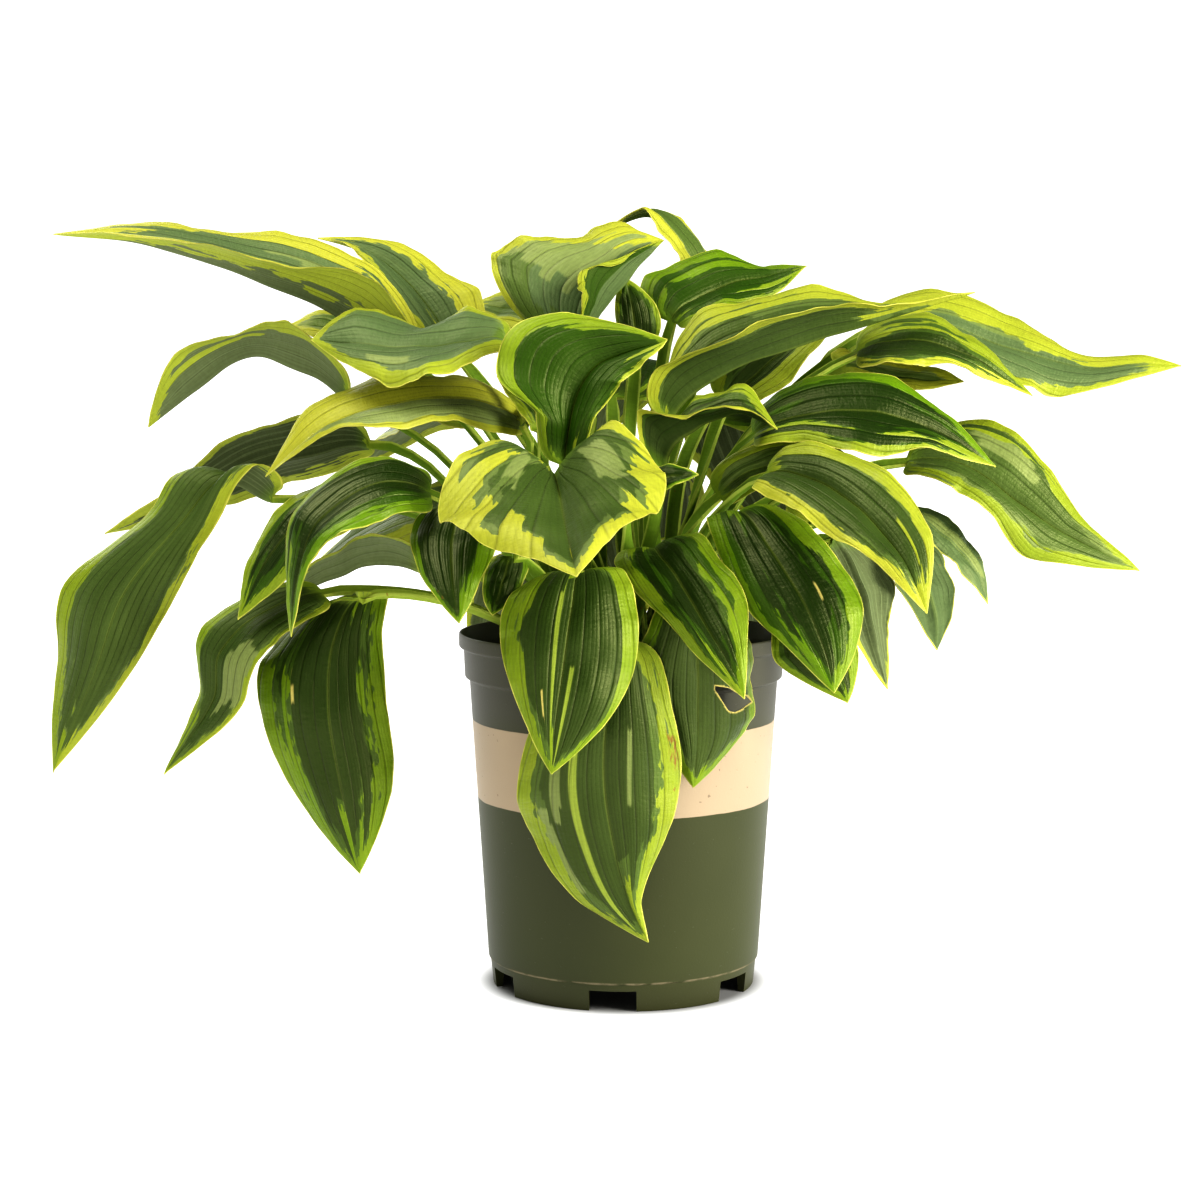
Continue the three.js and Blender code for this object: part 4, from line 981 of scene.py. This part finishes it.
look("right_lobe", (4, 6, 5, 3), (8, 7, 4, 5), (0.9, 0.6), 6, 4, 0.45, 0.5, 0.4,
     [("yellow", 0.7, 1.0, 0.72, 0.97), ("yellow", 0.35, 0.42, 0.66, 0.85)])
look("right_tucked", (3, 3, 3, 2), (4, 4, 3, 2), (0.2, 0.2), 4, 4, 0.1)
look("right_broad", (1.5, 1.5, 2.5, 2), (6, 8, 8, 4), (0.4, 0.0), 8, 8, 0.0, 0.5, 0.4)
look("right_far", (1, 1.5, 4, 2), (5, 4.5, 3, 2), (0.4, 0.45), 5, 3, 0.85, 0.6, 0.3,
     [("pale", 0.4, 0.72, 0.25, 0.5)])
look("right_long", (8, 8, 6, 4), (8, 8, 6, 4), (0.7, 0.65), 6, 6, 0.6, 0.2, 0.3,
     inside_out=True, ribs=6)
look("right_behind", (7, 7, 5, 4), (9, 9, 7, 4), (0.5, 0.5), 5, 5, 0.3)
look("right_sliver", (3, 3, 3, 2), (3, 3, 3, 2), (0.2, 0.2), 3, 3, 0.1)
look("right_curled", (8, 8, 6, 4), (9, 9, 6, 4), (0.9, 0.9), 4, 4, 1.2, 1.0, inside_out=True)
# right_shade's high blue is painted light on a leaf that lies in shade.
look("right_shade", (5, 6, 5, 3), (6, 6, 5, 4), (0.4, 0.4), 5, 6, 0.9, 0.9)
look("right_reach", (3, 4, 5, 3), (22, 22, 15, 6), (0.6, 0.7), 6, 5, 1.0, 0.5, 0.3,
     [("sea", -0.95, 0.2, 0.1, 0.9)])
look("right_fold", (2, 2, 3, 2), (14, 13, 10, 3), (0.8, 0.45), 6, 7, 0.3, 0.5, 0.4,
     [("deep", 0.5, 0.66, 0.08, 0.36)])
look("right_grey", (0, 0, 1, 1), (1, 2, 2, 1), (0.1, 0.1), 1, 2, 0.4, 0.3, 0.2, ribs=6)
look("right_pale", (-1, -1, -1, -1), (-1, -1, -1, -1), (0.1, 0.1), 0, 0, 0.4, 0.3, 0.2,
     [("sea", -1.1, 1.1, -0.2, 1.2)], inside_out=True, ribs=6)
look("right_narrow", (0, 0, 0, 0), (1, 1, 1, 1), (0.4, 0.4), 1, 1, 1.3, 0.9, 0.2,
     [("sea", -1.1, 1.1, -0.2, 1.2), ("pale", 0.1, 0.5, 0.1, 0.8)], inside_out=True, ribs=5)
look("top_left", (8, 9, 8, 5), (3, 6, 12, 7), (0.6, 0.8), 9, 7, 1.25, 0.5, 0.1,
     [("green", -1.0, -0.25, 0.0, 1.0), ("pale", 0.25, 0.9, 0.3, 0.95), ("sea", -0.25, 0.6, 0.1, 1.0)],
     inside_out=True)
look("top_crest", (6, 7, 5, 3), (7, 8, 6, 3), (0.9, 0.9), 3, 4, 1.2, 0.5, 0.1, inside_out=True)
look("top_right", (2, 2, 2, 2), (10, 11, 6, 2), (0.2, 0.08), 6, 5, 0.0, 0.5, 0.4,
     [("green", -1.0, 1.0, 0.0, 1.0)])
look("top_back", (7, 7, 5, 3), (7, 7, 5, 3), (0.8, 0.8), 5, 5, 1.2, 1.0, 0.1)
look("back_left_low", (8, 8, 6, 3), (8, 8, 6, 3), (0.7, 0.7), 5, 5, 1.0, 1.0, 0.1)
look("back_left", (5, 6, 5, 3), (5, 6, 5, 3), (0.5, 0.5), 5, 4, 0.4, 0.6, 0.2)
look("back_right_low", (5, 5, 4, 3), (5, 5, 4, 3))
look("back_centre", (4, 4, 4, 3), (4, 4, 4, 3), (0.2, 0.2), 5, 4, 0.1, 0.3, 0.3)
look("top_small", (3, 3, 2, 2), (3, 3, 2, 2), (0.3, 0.3), 3, 3, 0.1)


def margin_reach(looks, s, across):
    """Width of the yellow margin and its tone at every vertex of a leaf."""
    s = np.clip(s, 0, 1)
    left = np.interp(s, EDGE_AT, looks.a)[:, None]
    right = np.interp(s, EDGE_AT, looks.b)[:, None]
    side = np.where(across < 0, 0.0, np.where(across > 0, 1.0, 0.5))[None, :]
    tone = looks.tones[0] * (1 - side) + looks.tones[1] * side
    return left * (1 - side) + right * side, tone


def leaf_material(one, number):
    """Green middle, yellow margin with fingers along the veins, pillowed between the veins."""
    looks = LOOKS[one.name]
    broadest = float(one.fine.wide.max())
    veins = float(looks.ribs or np.clip(round(broadest / VEIN_SPACING), FEWEST_VEINS, MOST_VEINS))
    shade = Shade(bpy.data.materials.new("leaf_skin_" + one.name))
    mix = shade.mix
    s, v, wide = shade.attribute("leaf_place")
    along, below, stalk = shade.attribute("leaf_more")
    margin, yellow, torn = shade.attribute("leaf_edge")
    seed = number * SEED_STEP
    right = shade.math("GREATER_THAN", v, 0.0)
    across = v * wide
    near_edge = (1.0 - abs(v)) * wide

    def grain(long, aside, scale, detail, roughness=0.5, other=seed):
        """Noise that changes along the blade, more slowly the greater long is, and with aside."""
        return shade.noise(shade.vector(along / long, aside, other), scale, detail, roughness)

    vein_place = abs(v) * (1.0 - s * looks.bend)
    if looks.bend > FAN_FROM:
        vein_place = shade.math("ARCTAN2", abs(v) * wide, along + FAN_BACK) / FAN_ANGLE
    sway = grain(18.0, seed, 1.0, 1.0, other=right)
    size = vein_place + sway.line(0.05, -0.025)

    # Lanes along the veins; each has its own luck, and another with a fraction added.
    lane = (size * (LANES_PER_VEIN * veins)).floor() + seed + right * LANE_APART
    luck = lane.luck()
    drift = grain(24.0, lane, 1.0, 1.0)
    ragged = grain(5.0, across, 0.8, 3.0)

    # The margin reaches inward by its width, fingers in some lanes, teeth and a ragged line.
    finger_long = looks.fingers * min(1.0, broadest / FINGER_FULL_WIDTH)
    fingers = luck**3.0 * (finger_long * 1.5) * (drift * 2.0)
    teeth = (size * (TEETH_PER_VEIN * veins)).floor() + (seed + 0.4) + right * TEETH_APART
    tooth = grain(6.0, teeth * 7.7, 1.0, 0.0).line(finger_long * 0.7, finger_long * -0.35)
    reach = margin * drift.line(0.9, 0.5) + fingers + ragged.line(2.4, -1.2) + tooth
    to_tip = (1.0 - s) * (one.fine.blade_long * TIP_REACH)
    past = reach - shade.math("SMOOTH_MIN", near_edge, to_tip, TIP_BLEND)
    in_margin = past.rise(-MARGIN_SOFT, MARGIN_SOFT)
    halo = (lane + 0.5).luck().line(1.1, 0.1) * looks.halo * drift.line(1.2, 0.3) + tooth * -0.6
    in_halo = (past + halo).rise(-HALO_SOFT, HALO_SOFT)

    masks = {}
    jagged = s + luck.line(0.12, -0.06) + ragged.line(0.04, -0.02)
    for kind, v0, v1, s0, s1 in looks.patches:
        mask = v.within(v0, v1, PATCH_SOFT_ACROSS) * jagged.within(s0, s1, PATCH_SOFT_ALONG)
        masks[kind] = shade.math("MAXIMUM", masks[kind], mask) if kind in masks else mask
    if "yellow" in masks:
        in_margin = shade.math("MAXIMUM", in_margin, masks["yellow"])
    if "deep" in masks:
        in_margin = in_margin * (1.0 - masks["deep"])

    # Upper side.
    patchy = grain(30.0, v, 1.3, 1.0)
    # The blue of the middle is partly the leaf's own and partly painted reflection of the overhead
    # light.
    blue_and_reflection_share = (lane + 0.25).luck().line(0.3, 0.7) * looks.blue * patchy.line(0.8, 0.6)
    middle = mix(blue_and_reflection_share, DEEP_GREEN, BLUE_GREEN)
    middle = mix(in_halo * 0.65, middle, mix(min(looks.blue * 0.8, 1), MID_GREEN, GREY_GREEN))
    for kind, (colour, strength) in PATCHES.items():
        if kind in masks:
            middle = mix(masks[kind] * strength, middle, colour)
    upper = mix(in_margin, middle, mix(patchy.line(0.3, yellow - 0.15), LIME, YELLOW))
    midrib = abs(across).fall(0.3, 1.0) * s.rise(0.4, 0.85, 1.0, 0.2)
    upper = mix(midrib * 0.18, upper, PALE_GREEN)

    # Under side, with light ribs.
    lanes = vein_place * veins
    under = mix(looks.under, UNDER_DARK, UNDER_LIGHT)
    under = mix(grain(60.0, across, 0.9, 2.0) * 0.4, under, UNDER_LIGHT)
    rib_line = shade.math("PINGPONG", lanes, 0.5).fall(0.04, 0.2)
    under = mix(rib_line * 0.55, under, UNDER_LIGHT)
    under = mix(in_margin, under, UNDER_YELLOW)
    if looks.inside_out:
        under = shade.scale_colour(upper, 0.92)
    skin = mix(below, upper, under)

    # Stalk, rim line, specks and marks.
    # A stalk can be drawn paler towards STALK_PALE: painted light on a stalk that lies in shade.
    stem = mix(looks.pale_stalk, STALK_GREEN, STALK_PALE)
    stem = mix(abs(v).rise(0.8, 0.98) * 0.8, stem, STALK_EDGE)
    skin = mix(stalk, skin, stem)
    rim = near_edge.fall(0.25, 0.65) * (1.0 - stalk)
    rim = rim * grain(9.0, right, 1.0, 2.0).rise(0.3, 0.7, 0.25, 0.9)
    skin = mix(rim, skin, RIM_LINE)
    speck = grain(1.0, across, 0.22, 3.0, 0.6).rise(0.72, 0.76) * near_edge.fall(2.0, 9.0)
    skin = mix(speck * 0.6, skin, BROWN)
    if "scar" in masks:
        skin = mix(masks["scar"], skin, SCAR)
    if "brown" in masks:
        skin = mix(masks["brown"] * ragged.rise(0.4, 0.6), skin, BROWN)
    skin = mix(torn.rise(0.45, 0.9), skin, SCAR)

    # Valleys at the veins on the upper side are painted darker, as shade in the grooves, and show as
    # ridges below.
    from_vein = lanes.zigzag()
    pillow = 1.0 - (1.0 - from_vein) ** 4.0
    body = wide.rise(veins * 0.9, veins * 3.6)
    valley_shade = from_vein.fall(0.0, 0.16) * body
    thread = (1.0 - (lanes * THREADS).zigzag()) ** 2.0 * body
    puckers = grain(1.0, across / 2.6, 0.62, 2.0)
    value = grain(40.0, across, 1.6, 3.0).line(0.36, 0.82)
    # The value carries painted shade in the valleys, the threads and the puckers' hollows, and painted
    # light on the puckers' rises.
    value = value - valley_shade * (RIBBED_VALLEY_SHADE if looks.ribs else VALLEY_SHADE)
    value = value + puckers.line(0.24, -0.12) - thread * THREAD_SHADE
    # Painted shade darkens the stalks towards their feet in the crown.
    stalk_shade = stalk * along.rise(STALK_SHADE_FULL_TO, STALK_SHADE_GONE_FROM, STALK_SHADE_DEPTH, 0.0)
    value = value * (1.0 - stalk_shade)

    height = (pillow * body - thread * THREAD_DEPTH) * below.line(-1.7, 1.0) * (1.0 - stalk)
    fine = grain(1.0, across, 1.2, 3.0, 0.6)
    height = height + puckers * 0.9 + fine * 0.3
    rough = below.line(0.2, fine.line(0.2, 0.4 - 0.16 * looks.gloss))
    return shade.surface({
        "Base Color": shade.scale_colour(skin, value),
        "Normal": shade.bump(height, LEAF_BUMP),
        "Roughness": rough + s.rise(0.02, 0.14, 0.35, 0.0),
        "Specular IOR Level": 0.35 + 0.35 * looks.gloss,
        "Specular Tint": GLOSS_TINT,
    })


stand_stalks()
for number, one in enumerate(LEAVES):
    one.phase = (number * PHASE_STEP) % 1
    piece = leaf_object(one)
    piece.data.materials.append(leaf_material(one, number))
    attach(piece, "root")
    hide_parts("leaf_" + one.name)

# Pot: the solid's profile with rounded corners and a finer round.
POT_HEIGHT = 181
RIM_RADIUS = 84
WALL = 1.6
FOOT_RADIUS = 67
FOOT_RING_INNER = 63.6
FLOOR_BOTTOM = 10.6
FLOOR_TOP = 12.4
LEDGE_Z = 14.2
BODY_RADIUS_AT_LEDGE = 69.4
BODY_FLARE = 0.064
COLLAR_Z = 158
COLLAR_RADIUS = 81
COLLAR_TOP_RADIUS = 81.6
LIP_Z = 174
NOTCH_COUNT = 6
NOTCH_FIRST_DEG = -5
NOTCH_WIDTH = 23.5
NOTCH_CUT_DEPTH = 24
NOTCH_HEIGHT = 10.4
DRAIN_LENGTH = 14
DRAIN_DEPTH = 9
DRAIN_CUT_HEIGHT = 8
DRAIN_RADIUS = 56
POT_SIDES = 192
POT_SHARP_DEG = 35
CORNER_SPACE = 2.2
ARC_STEPS = (0, 0.25, 0.5, 0.75, 1)
BAND_LOW = 97
BAND_HIGH = 137


def body_radius(z):
    return BODY_RADIUS_AT_LEDGE + (z - LEDGE_Z) * BODY_FLARE


def rounded(profile):
    """A profile of (radius, height, corner radius), with each corner turned into an arc.

    An arc takes at most the length of a side divided by CORNER_SPACE.
    """
    result = [profile[0][:2]]
    for before, corner, after in zip(profile, profile[1:], profile[2:]):
        before, here, after = (np.array(point[:2], float) for point in (before, corner, after))
        back = min(corner[2], np.linalg.norm(before - here) / CORNER_SPACE)
        ahead = min(corner[2], np.linalg.norm(after - here) / CORNER_SPACE)
        start = here + unit(before - here) * back
        end = here + unit(after - here) * ahead
        for t in ARC_STEPS:
            r, z = start * (1 - t) ** 2 + here * 2 * t * (1 - t) + end * t**2
            result.append((float(r), float(z)))
    return result + [profile[-1][:2]]


def lathe(name, profile, sides, downward=False):
    """A closed solid of revolution, from a profile of (radius, height) between two axis points.

    A height can be a rule of x and y. The profile runs upward on the outside, or downward.
    """
    vertices = []
    for r, z in profile:
        for i in range(sides if r else 1):
            turn = 2 * math.pi * i / sides
            x, y = r * math.cos(turn), r * math.sin(turn)
            vertices.append((x, y, z(x, y) if callable(z) else z))
    last = len(vertices) - 1
    faces = []
    for i in range(sides):
        after = (i + 1) % sides
        faces.append((0, 1 + after, 1 + i))
        faces.append((last, last - sides + i, last - sides + after))
        for low in range(1, last - sides, sides):
            high = low + sides
            faces.append((low + i, low + after, high + after, high + i))
    if downward:
        faces = [(face[0], *reversed(face[1:])) for face in faces]
    return mesh_object(name, vertices, faces)


def box_mesh(name, centre, size, turn):
    """A plain box turned about the upright axis, used only to cut."""
    half = np.array(size) / 2
    cos, sin = math.cos(turn), math.sin(turn)
    vertices = []
    for x in (-1, 1):
        for y in (-1, 1):
            for z in (-1, 1):
                p = np.array(centre) + half * [x, y, z]
                vertices.append((cos * p[0] - sin * p[1], sin * p[0] + cos * p[1], p[2]))
    faces = [(0, 1, 3, 2), (4, 6, 7, 5), (0, 4, 5, 1), (2, 3, 7, 6), (0, 2, 6, 4), (1, 5, 7, 3)]
    return mesh_object(name, vertices, faces)


def cut_away(piece, cutters):
    """Subtracts the cutters from the piece and removes them."""
    for cutter in cutters:
        modifier = piece.modifiers.new("cut", "BOOLEAN")
        modifier.operation = "DIFFERENCE"
        modifier.solver = "EXACT"
        modifier.object = cutter
    bpy.context.view_layer.update()
    evaluated = piece.evaluated_get(bpy.context.evaluated_depsgraph_get())
    mesh = bpy.data.meshes.new_from_object(evaluated)
    piece.modifiers.clear()
    piece.data = mesh
    mesh.shade_smooth()
    mesh.set_sharp_from_angle(angle=math.radians(POT_SHARP_DEG))
    for cutter in cutters:
        bpy.data.objects.remove(cutter)


def pot_object():
    profile = rounded([
        (0, FLOOR_BOTTOM, 0),
        (FOOT_RING_INNER - 1, FLOOR_BOTTOM, 0.4),
        (FOOT_RING_INNER, 0, 0.5),
        (FOOT_RADIUS, 0, 0.6),
        (BODY_RADIUS_AT_LEDGE - 0.9, LEDGE_Z - 0.5, 0.2),
        (BODY_RADIUS_AT_LEDGE, LEDGE_Z, 0.5),
        (body_radius(COLLAR_Z), COLLAR_Z - 0.6, 0.5),
        (COLLAR_RADIUS, COLLAR_Z + 0.6, 0.8),
        (COLLAR_TOP_RADIUS, LIP_Z - 0.8, 0.7),
        (RIM_RADIUS, LIP_Z, 1.0),
        (RIM_RADIUS, POT_HEIGHT, 1.2),
        (RIM_RADIUS - WALL, POT_HEIGHT, 0.6),
        (COLLAR_TOP_RADIUS - WALL, LIP_Z - 2, 1.0),
        (COLLAR_RADIUS - WALL, COLLAR_Z + 2, 1.0),
        (body_radius(COLLAR_Z - 2) - WALL, COLLAR_Z - 2, 1.0),
        (body_radius(FLOOR_TOP + 2) - WALL, FLOOR_TOP + 2, 1.0),
        (body_radius(FLOOR_TOP) - WALL - 2, FLOOR_TOP, 1.0),
        (0, FLOOR_TOP, 0),
    ])
    made = lathe("nursery_pot", profile, POT_SIDES)
    cutters = []
    notch_size = (NOTCH_WIDTH, NOTCH_CUT_DEPTH, NOTCH_HEIGHT + 2)
    drain_size = (DRAIN_LENGTH, DRAIN_DEPTH, DRAIN_CUT_HEIGHT)
    for i in range(NOTCH_COUNT):
        turn = math.radians(NOTCH_FIRST_DEG + i * 360 / NOTCH_COUNT)
        notch_at = (0, -FOOT_RADIUS, NOTCH_HEIGHT / 2 - 1)
        cutters.append(box_mesh("notch", notch_at, notch_size, turn))
        drain_at = (0, -DRAIN_RADIUS, (FLOOR_BOTTOM + FLOOR_TOP) / 2)
        cutters.append(box_mesh("drain", drain_at, drain_size, turn))
    cut_away(made, cutters)
    return made


def pot_material():
    """Moulded dark green plastic, a bare printed band, dust on the ledge and light scuffs."""
    shade = Shade(bpy.data.materials.new("pot_plastic"))
    mix = shade.mix
    where = shade.place()
    x, y, z = shade.split(where)
    height = z / MM
    cloud = shade.noise(where, 14.0, 3.0)
    olive = mix(cloud, tint(58, 63, 33), tint(71, 75, 42))
    grey = mix(cloud, tint(66, 66, 52), tint(80, 79, 64))
    plastic = mix(height.rise(120.0, 150.0), olive, grey)

    ink = mix(cloud, tint(167, 149, 124), tint(180, 161, 134))
    fleck = shade.noise(where, 420.0, 1.0).rise(0.74, 0.77)
    ink = mix(fleck * 0.7, ink, tint(120, 104, 84))
    uneven = shade.noise(where, 60.0, 2.0).line(0.8, -0.4)
    band = (height + uneven).within(BAND_LOW, BAND_HIGH, 0.2)
    colour = mix(band, plastic, ink)

    turned = shade.math("ARCTAN2", y, x)
    scratch = shade.noise(shade.vector(turned * 3.0, z * 90.0, 0.0), 6.0, 4.0, 0.7).rise(0.66, 0.72)
    colour = mix(scratch * 0.12, colour, tint(150, 150, 132))
    on_ledge = height.rise(LEDGE_Z - 1.0, LEDGE_Z - 0.2) * height.fall(LEDGE_Z + 0.1, LEDGE_Z + 0.9)
    dust = on_ledge * shade.noise(where, 130.0, 3.0).rise(0.35, 0.6)
    colour = mix(dust * 0.55, colour, tint(166, 152, 124))
    # Darker and browner towards the bottom, over the lowest 22 mm.
    low_darkening = height.fall(0.0, 22.0) * cloud
    colour = mix(low_darkening * 0.35, colour, tint(60, 48, 34))
    speckle = shade.noise(where, 900.0, 2.0)
    return shade.surface({
        "Base Color": colour,
        "Normal": shade.bump(speckle * 0.12 + scratch * -0.2 + band * 0.25, 0.0003),
        "Roughness": cloud.line(0.1, 0.4) + dust * 0.3,
        "Specular IOR Level": 0.28,
    })


pot = pot_object()
pot.data.materials.clear()
pot.data.materials.append(pot_material())
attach(pot, "root")
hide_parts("pot")

# Soil: crumbly top, plain sides, and loose chips of bark on it.
SOIL_SIDES = 180
SOIL_RINGS = 54
RING_SPACING = 0.8
SOIL_CORNER = 3
SOIL_GAP = 0.5
SOIL_FLOOR_GAP = 0.3
CRUMB_HEIGHT = 1.4
FLAT_RADIUS = 40
SLOPE_WIDTH = 39
CRUMB_SIZE = 9
CRUMB_SINK = 0.6
CHIP_COUNT = 420
CHIP_CORNERS = 7
CHIPS_FROM = 20
CHIPS_REACH = 57
CHIP_LENGTHS = (1.5, 5.5)
CHIP_WIDTH_SHARES = (0.3, 0.7)
CHIP_THICK_SHARES = (0.12, 0.35)
CHIP_CORNER_SHARES = (0.75, 1.1)
CHIP_TILT = 0.3
CHIP_LIFT = 0.6
rng = np.random.default_rng(7)


def soil_height(x, y):
    r = math.hypot(x, y)
    slope = (SOIL_EDGE_Z - SOIL_MID_Z) * (r - FLAT_RADIUS) / SLOPE_WIDTH
    base = SOIL_MID_Z if r < FLAT_RADIUS else SOIL_MID_Z + slope
    rough = noise.fractal(Vector((x / CRUMB_SIZE, y / CRUMB_SIZE, 3.1)), 1.0, 2.0, 5)
    return base - CRUMB_SINK + CRUMB_HEIGHT * rough


def soil_object():
    rim = COLLAR_RADIUS - WALL - SOIL_GAP
    low = FLOOR_TOP + SOIL_FLOOR_GAP
    rings = [rim * (k / SOIL_RINGS) ** RING_SPACING for k in range(SOIL_RINGS + 1)]
    profile = [(r, soil_height) for r in rings]
    for z in (COLLAR_Z - SOIL_CORNER, low + SOIL_CORNER):
        profile.append((body_radius(z) - WALL - SOIL_GAP, z))
    profile += [(body_radius(low) - WALL - SOIL_CORNER, low), (0, low)]
    return lathe("potting_soil", profile, SOIL_SIDES, downward=True)


def chips_object():
    """Bark chips lying on the soil, as one mesh of small flat shards."""
    vertices, faces = [], []
    corners = range(CHIP_CORNERS)
    for _ in range(CHIP_COUNT):
        r = CHIPS_FROM + CHIPS_REACH * math.sqrt(rng.random())
        turn = 2 * math.pi * rng.random()
        x, y = r * math.cos(turn), r * math.sin(turn)
        long = rng.uniform(*CHIP_LENGTHS)
        broad, thick = rng.uniform(*CHIP_WIDTH_SHARES), rng.uniform(*CHIP_THICK_SHARES)
        sizes = np.array([long, long * broad, long * thick]) / 2
        spin, tilt = rng.uniform(0, math.pi), rng.normal(0, CHIP_TILT)
        cos, sin = math.cos(spin), math.sin(spin)
        ring = []
        for k in corners:
            angle = 2 * math.pi * k / CHIP_CORNERS
            reach = rng.uniform(*CHIP_CORNER_SHARES)
            ring.append((math.cos(angle) * reach, math.sin(angle) * reach))
        first = len(vertices)
        for level, spread in ((-1, 0.8), (1, 0.9)):
            for px, py in ring:
                p = np.array([px * spread * sizes[0], py * spread * sizes[1], level * sizes[2]])
                p[2] += p[0] * tilt
                z = soil_height(x, y) + p[2] + sizes[2] * CHIP_LIFT
                vertices.append((x + p[0] * cos - p[1] * sin, y + p[0] * sin + p[1] * cos, z))
        over = first + CHIP_CORNERS
        faces.append(tuple(first + k for k in reversed(corners)))
        faces.append(tuple(over + k for k in corners))
        for k in corners:
            after = (k + 1) % CHIP_CORNERS
            faces.append((first + k, first + after, over + after, over + k))
    return mesh_object("bark_chips", vertices, faces)


def soil_material(name, dark, light):
    shade = Shade(bpy.data.materials.new(name))
    where = shade.place()
    lumps = shade.noise(where, 260.0, 4.0, 0.65)
    fine = shade.noise(where, 1500.0, 3.0, 0.7)
    colour = shade.mix(lumps.rise(0.35, 0.7), dark, light)
    colour = shade.mix(fine.rise(0.66, 0.74, 0.0, 0.5), colour, tint(150, 128, 96))
    height = shade.bump(lumps + fine * 0.5, 0.0015)
    return shade.surface({"Base Color": colour, "Roughness": 0.95, "Normal": height})


soil = soil_object()
soil.data.materials.append(soil_material("soil_crumb", tint(34, 26, 20), tint(74, 58, 42)))
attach(soil, "root")
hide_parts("soil")
chips = chips_object()
chips.data.materials.append(soil_material("bark", tint(64, 44, 30), tint(126, 96, 66)))
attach(chips, "root")

# Floor, light and camera. Distances are in metres here.
FLOOR_SIZE = 30.0
FLOOR_GLOW = 0.78
FLOOR_GLOW_FAR = 1.03
GLOW_FROM = 0.7
GLOW_TO = 2.0
# How far the floor's painted shadow reaches round the pot, in metres.
FLOOR_SHADOW_RADIUS = 79 * MM
WHITE_UP_TO = 0.14
DIM_FROM = 0.24
SKY_WHITE = 1.04
SKY_DIM = 0.1
CLIP_END = 50


def floor_object():
    """White paper that glows brighter away from the pot, painted light as if from its own lamps."""
    half = FLOOR_SIZE / 2 / MM
    corners = [(-half, -half, 0), (half, -half, 0), (half, half, 0), (-half, half, 0)]
    floor = mesh_object("floor", corners, [(0, 1, 2, 3)])
    shade = Shade(bpy.data.materials.new("floor_paper"))
    where = shade.place()
    away = shade.value("VectorMath", {0: where}, "Value", operation="LENGTH")
    glow = away.rise(GLOW_FROM, GLOW_TO, FLOOR_GLOW, FLOOR_GLOW_FAR)
    paper = shade.noise(where, 30.0, 2.0)
    floor.data.materials.append(shade.surface({
        "Base Color": shade.mix(paper, (0.33, 0.33, 0.33, 1), (0.37, 0.37, 0.37, 1)),
        "Roughness": 0.9,
        "Emission Color": (1, 1, 1, 1),
        # The glow fades out towards the pot's foot: a painted shadow under and just round the pot.
        "Emission Strength": glow * away.rise(FOOT_RING_INNER * MM, FLOOR_SHADOW_RADIUS),
    }))


def white_round():
    """A world that is white near the horizon all round, and dimmer overhead."""
    world = bpy.data.worlds.new("studio")
    shade = Shade(world)
    up = shade.split(shade.node("TexCoord", {}, "Generated"))[2]
    background = shade.nodes["Background"].inputs
    shade.set(background["Color"], (1, 1, 1, 1))
    shade.set(background["Strength"], up.rise(WHITE_UP_TO, DIM_FROM, SKY_WHITE, SKY_DIM))
    bpy.context.scene.world = world


def area_light(name, place, target, size, watts, colour):
    lamp = bpy.data.lights.new(name, "AREA")
    lamp.shape = "RECTANGLE"
    lamp.size, lamp.size_y = size
    lamp.energy = watts
    lamp.color = colour
    made = bpy.data.objects.new(name, lamp)
    made.location = place
    made.rotation_euler = (Vector(target) - Vector(place)).to_track_quat("-Z", "Y").to_euler()
    bpy.context.scene.collection.objects.link(made)


floor_object()
white_round()
area_light("key", (1.55, -0.85, 1.0), (0, 0, 0.2), (0.8, 0.8), 34, (1.0, 0.98, 0.92))
area_light("side", (1.6, -0.75, 0.2), (0, 0, 0.1), (0.5, 0.35), 8, (1.0, 0.99, 0.94))
area_light("top", (-0.75, -0.4, 2.0), (0, 0, 0.25), (1.4, 1.2), 30, (1.0, 0.99, 0.97))
area_light("back", (-1.1, 1.7, 1.2), (0, 0, 0.2), (1.2, 1.0), 12, (1.0, 1.0, 0.98))

camera_data = bpy.data.cameras.new("camera")
camera_data.sensor_width = SENSOR_MM
camera_data.lens = CAMERA_FOCAL_PX / PICTURE_PX * SENSOR_MM
camera_data.clip_end = CLIP_END
camera = bpy.data.objects.new("camera", camera_data)
camera.location = Vector(EYE * MM)
camera.rotation_euler = (math.pi / 2 - CAMERA_PITCH, 0, 0)
bpy.context.scene.collection.objects.link(camera)
bpy.context.scene.camera = camera
bpy.context.scene.view_settings.view_transform = "Standard"
bpy.context.scene.view_settings.look = "High Contrast"
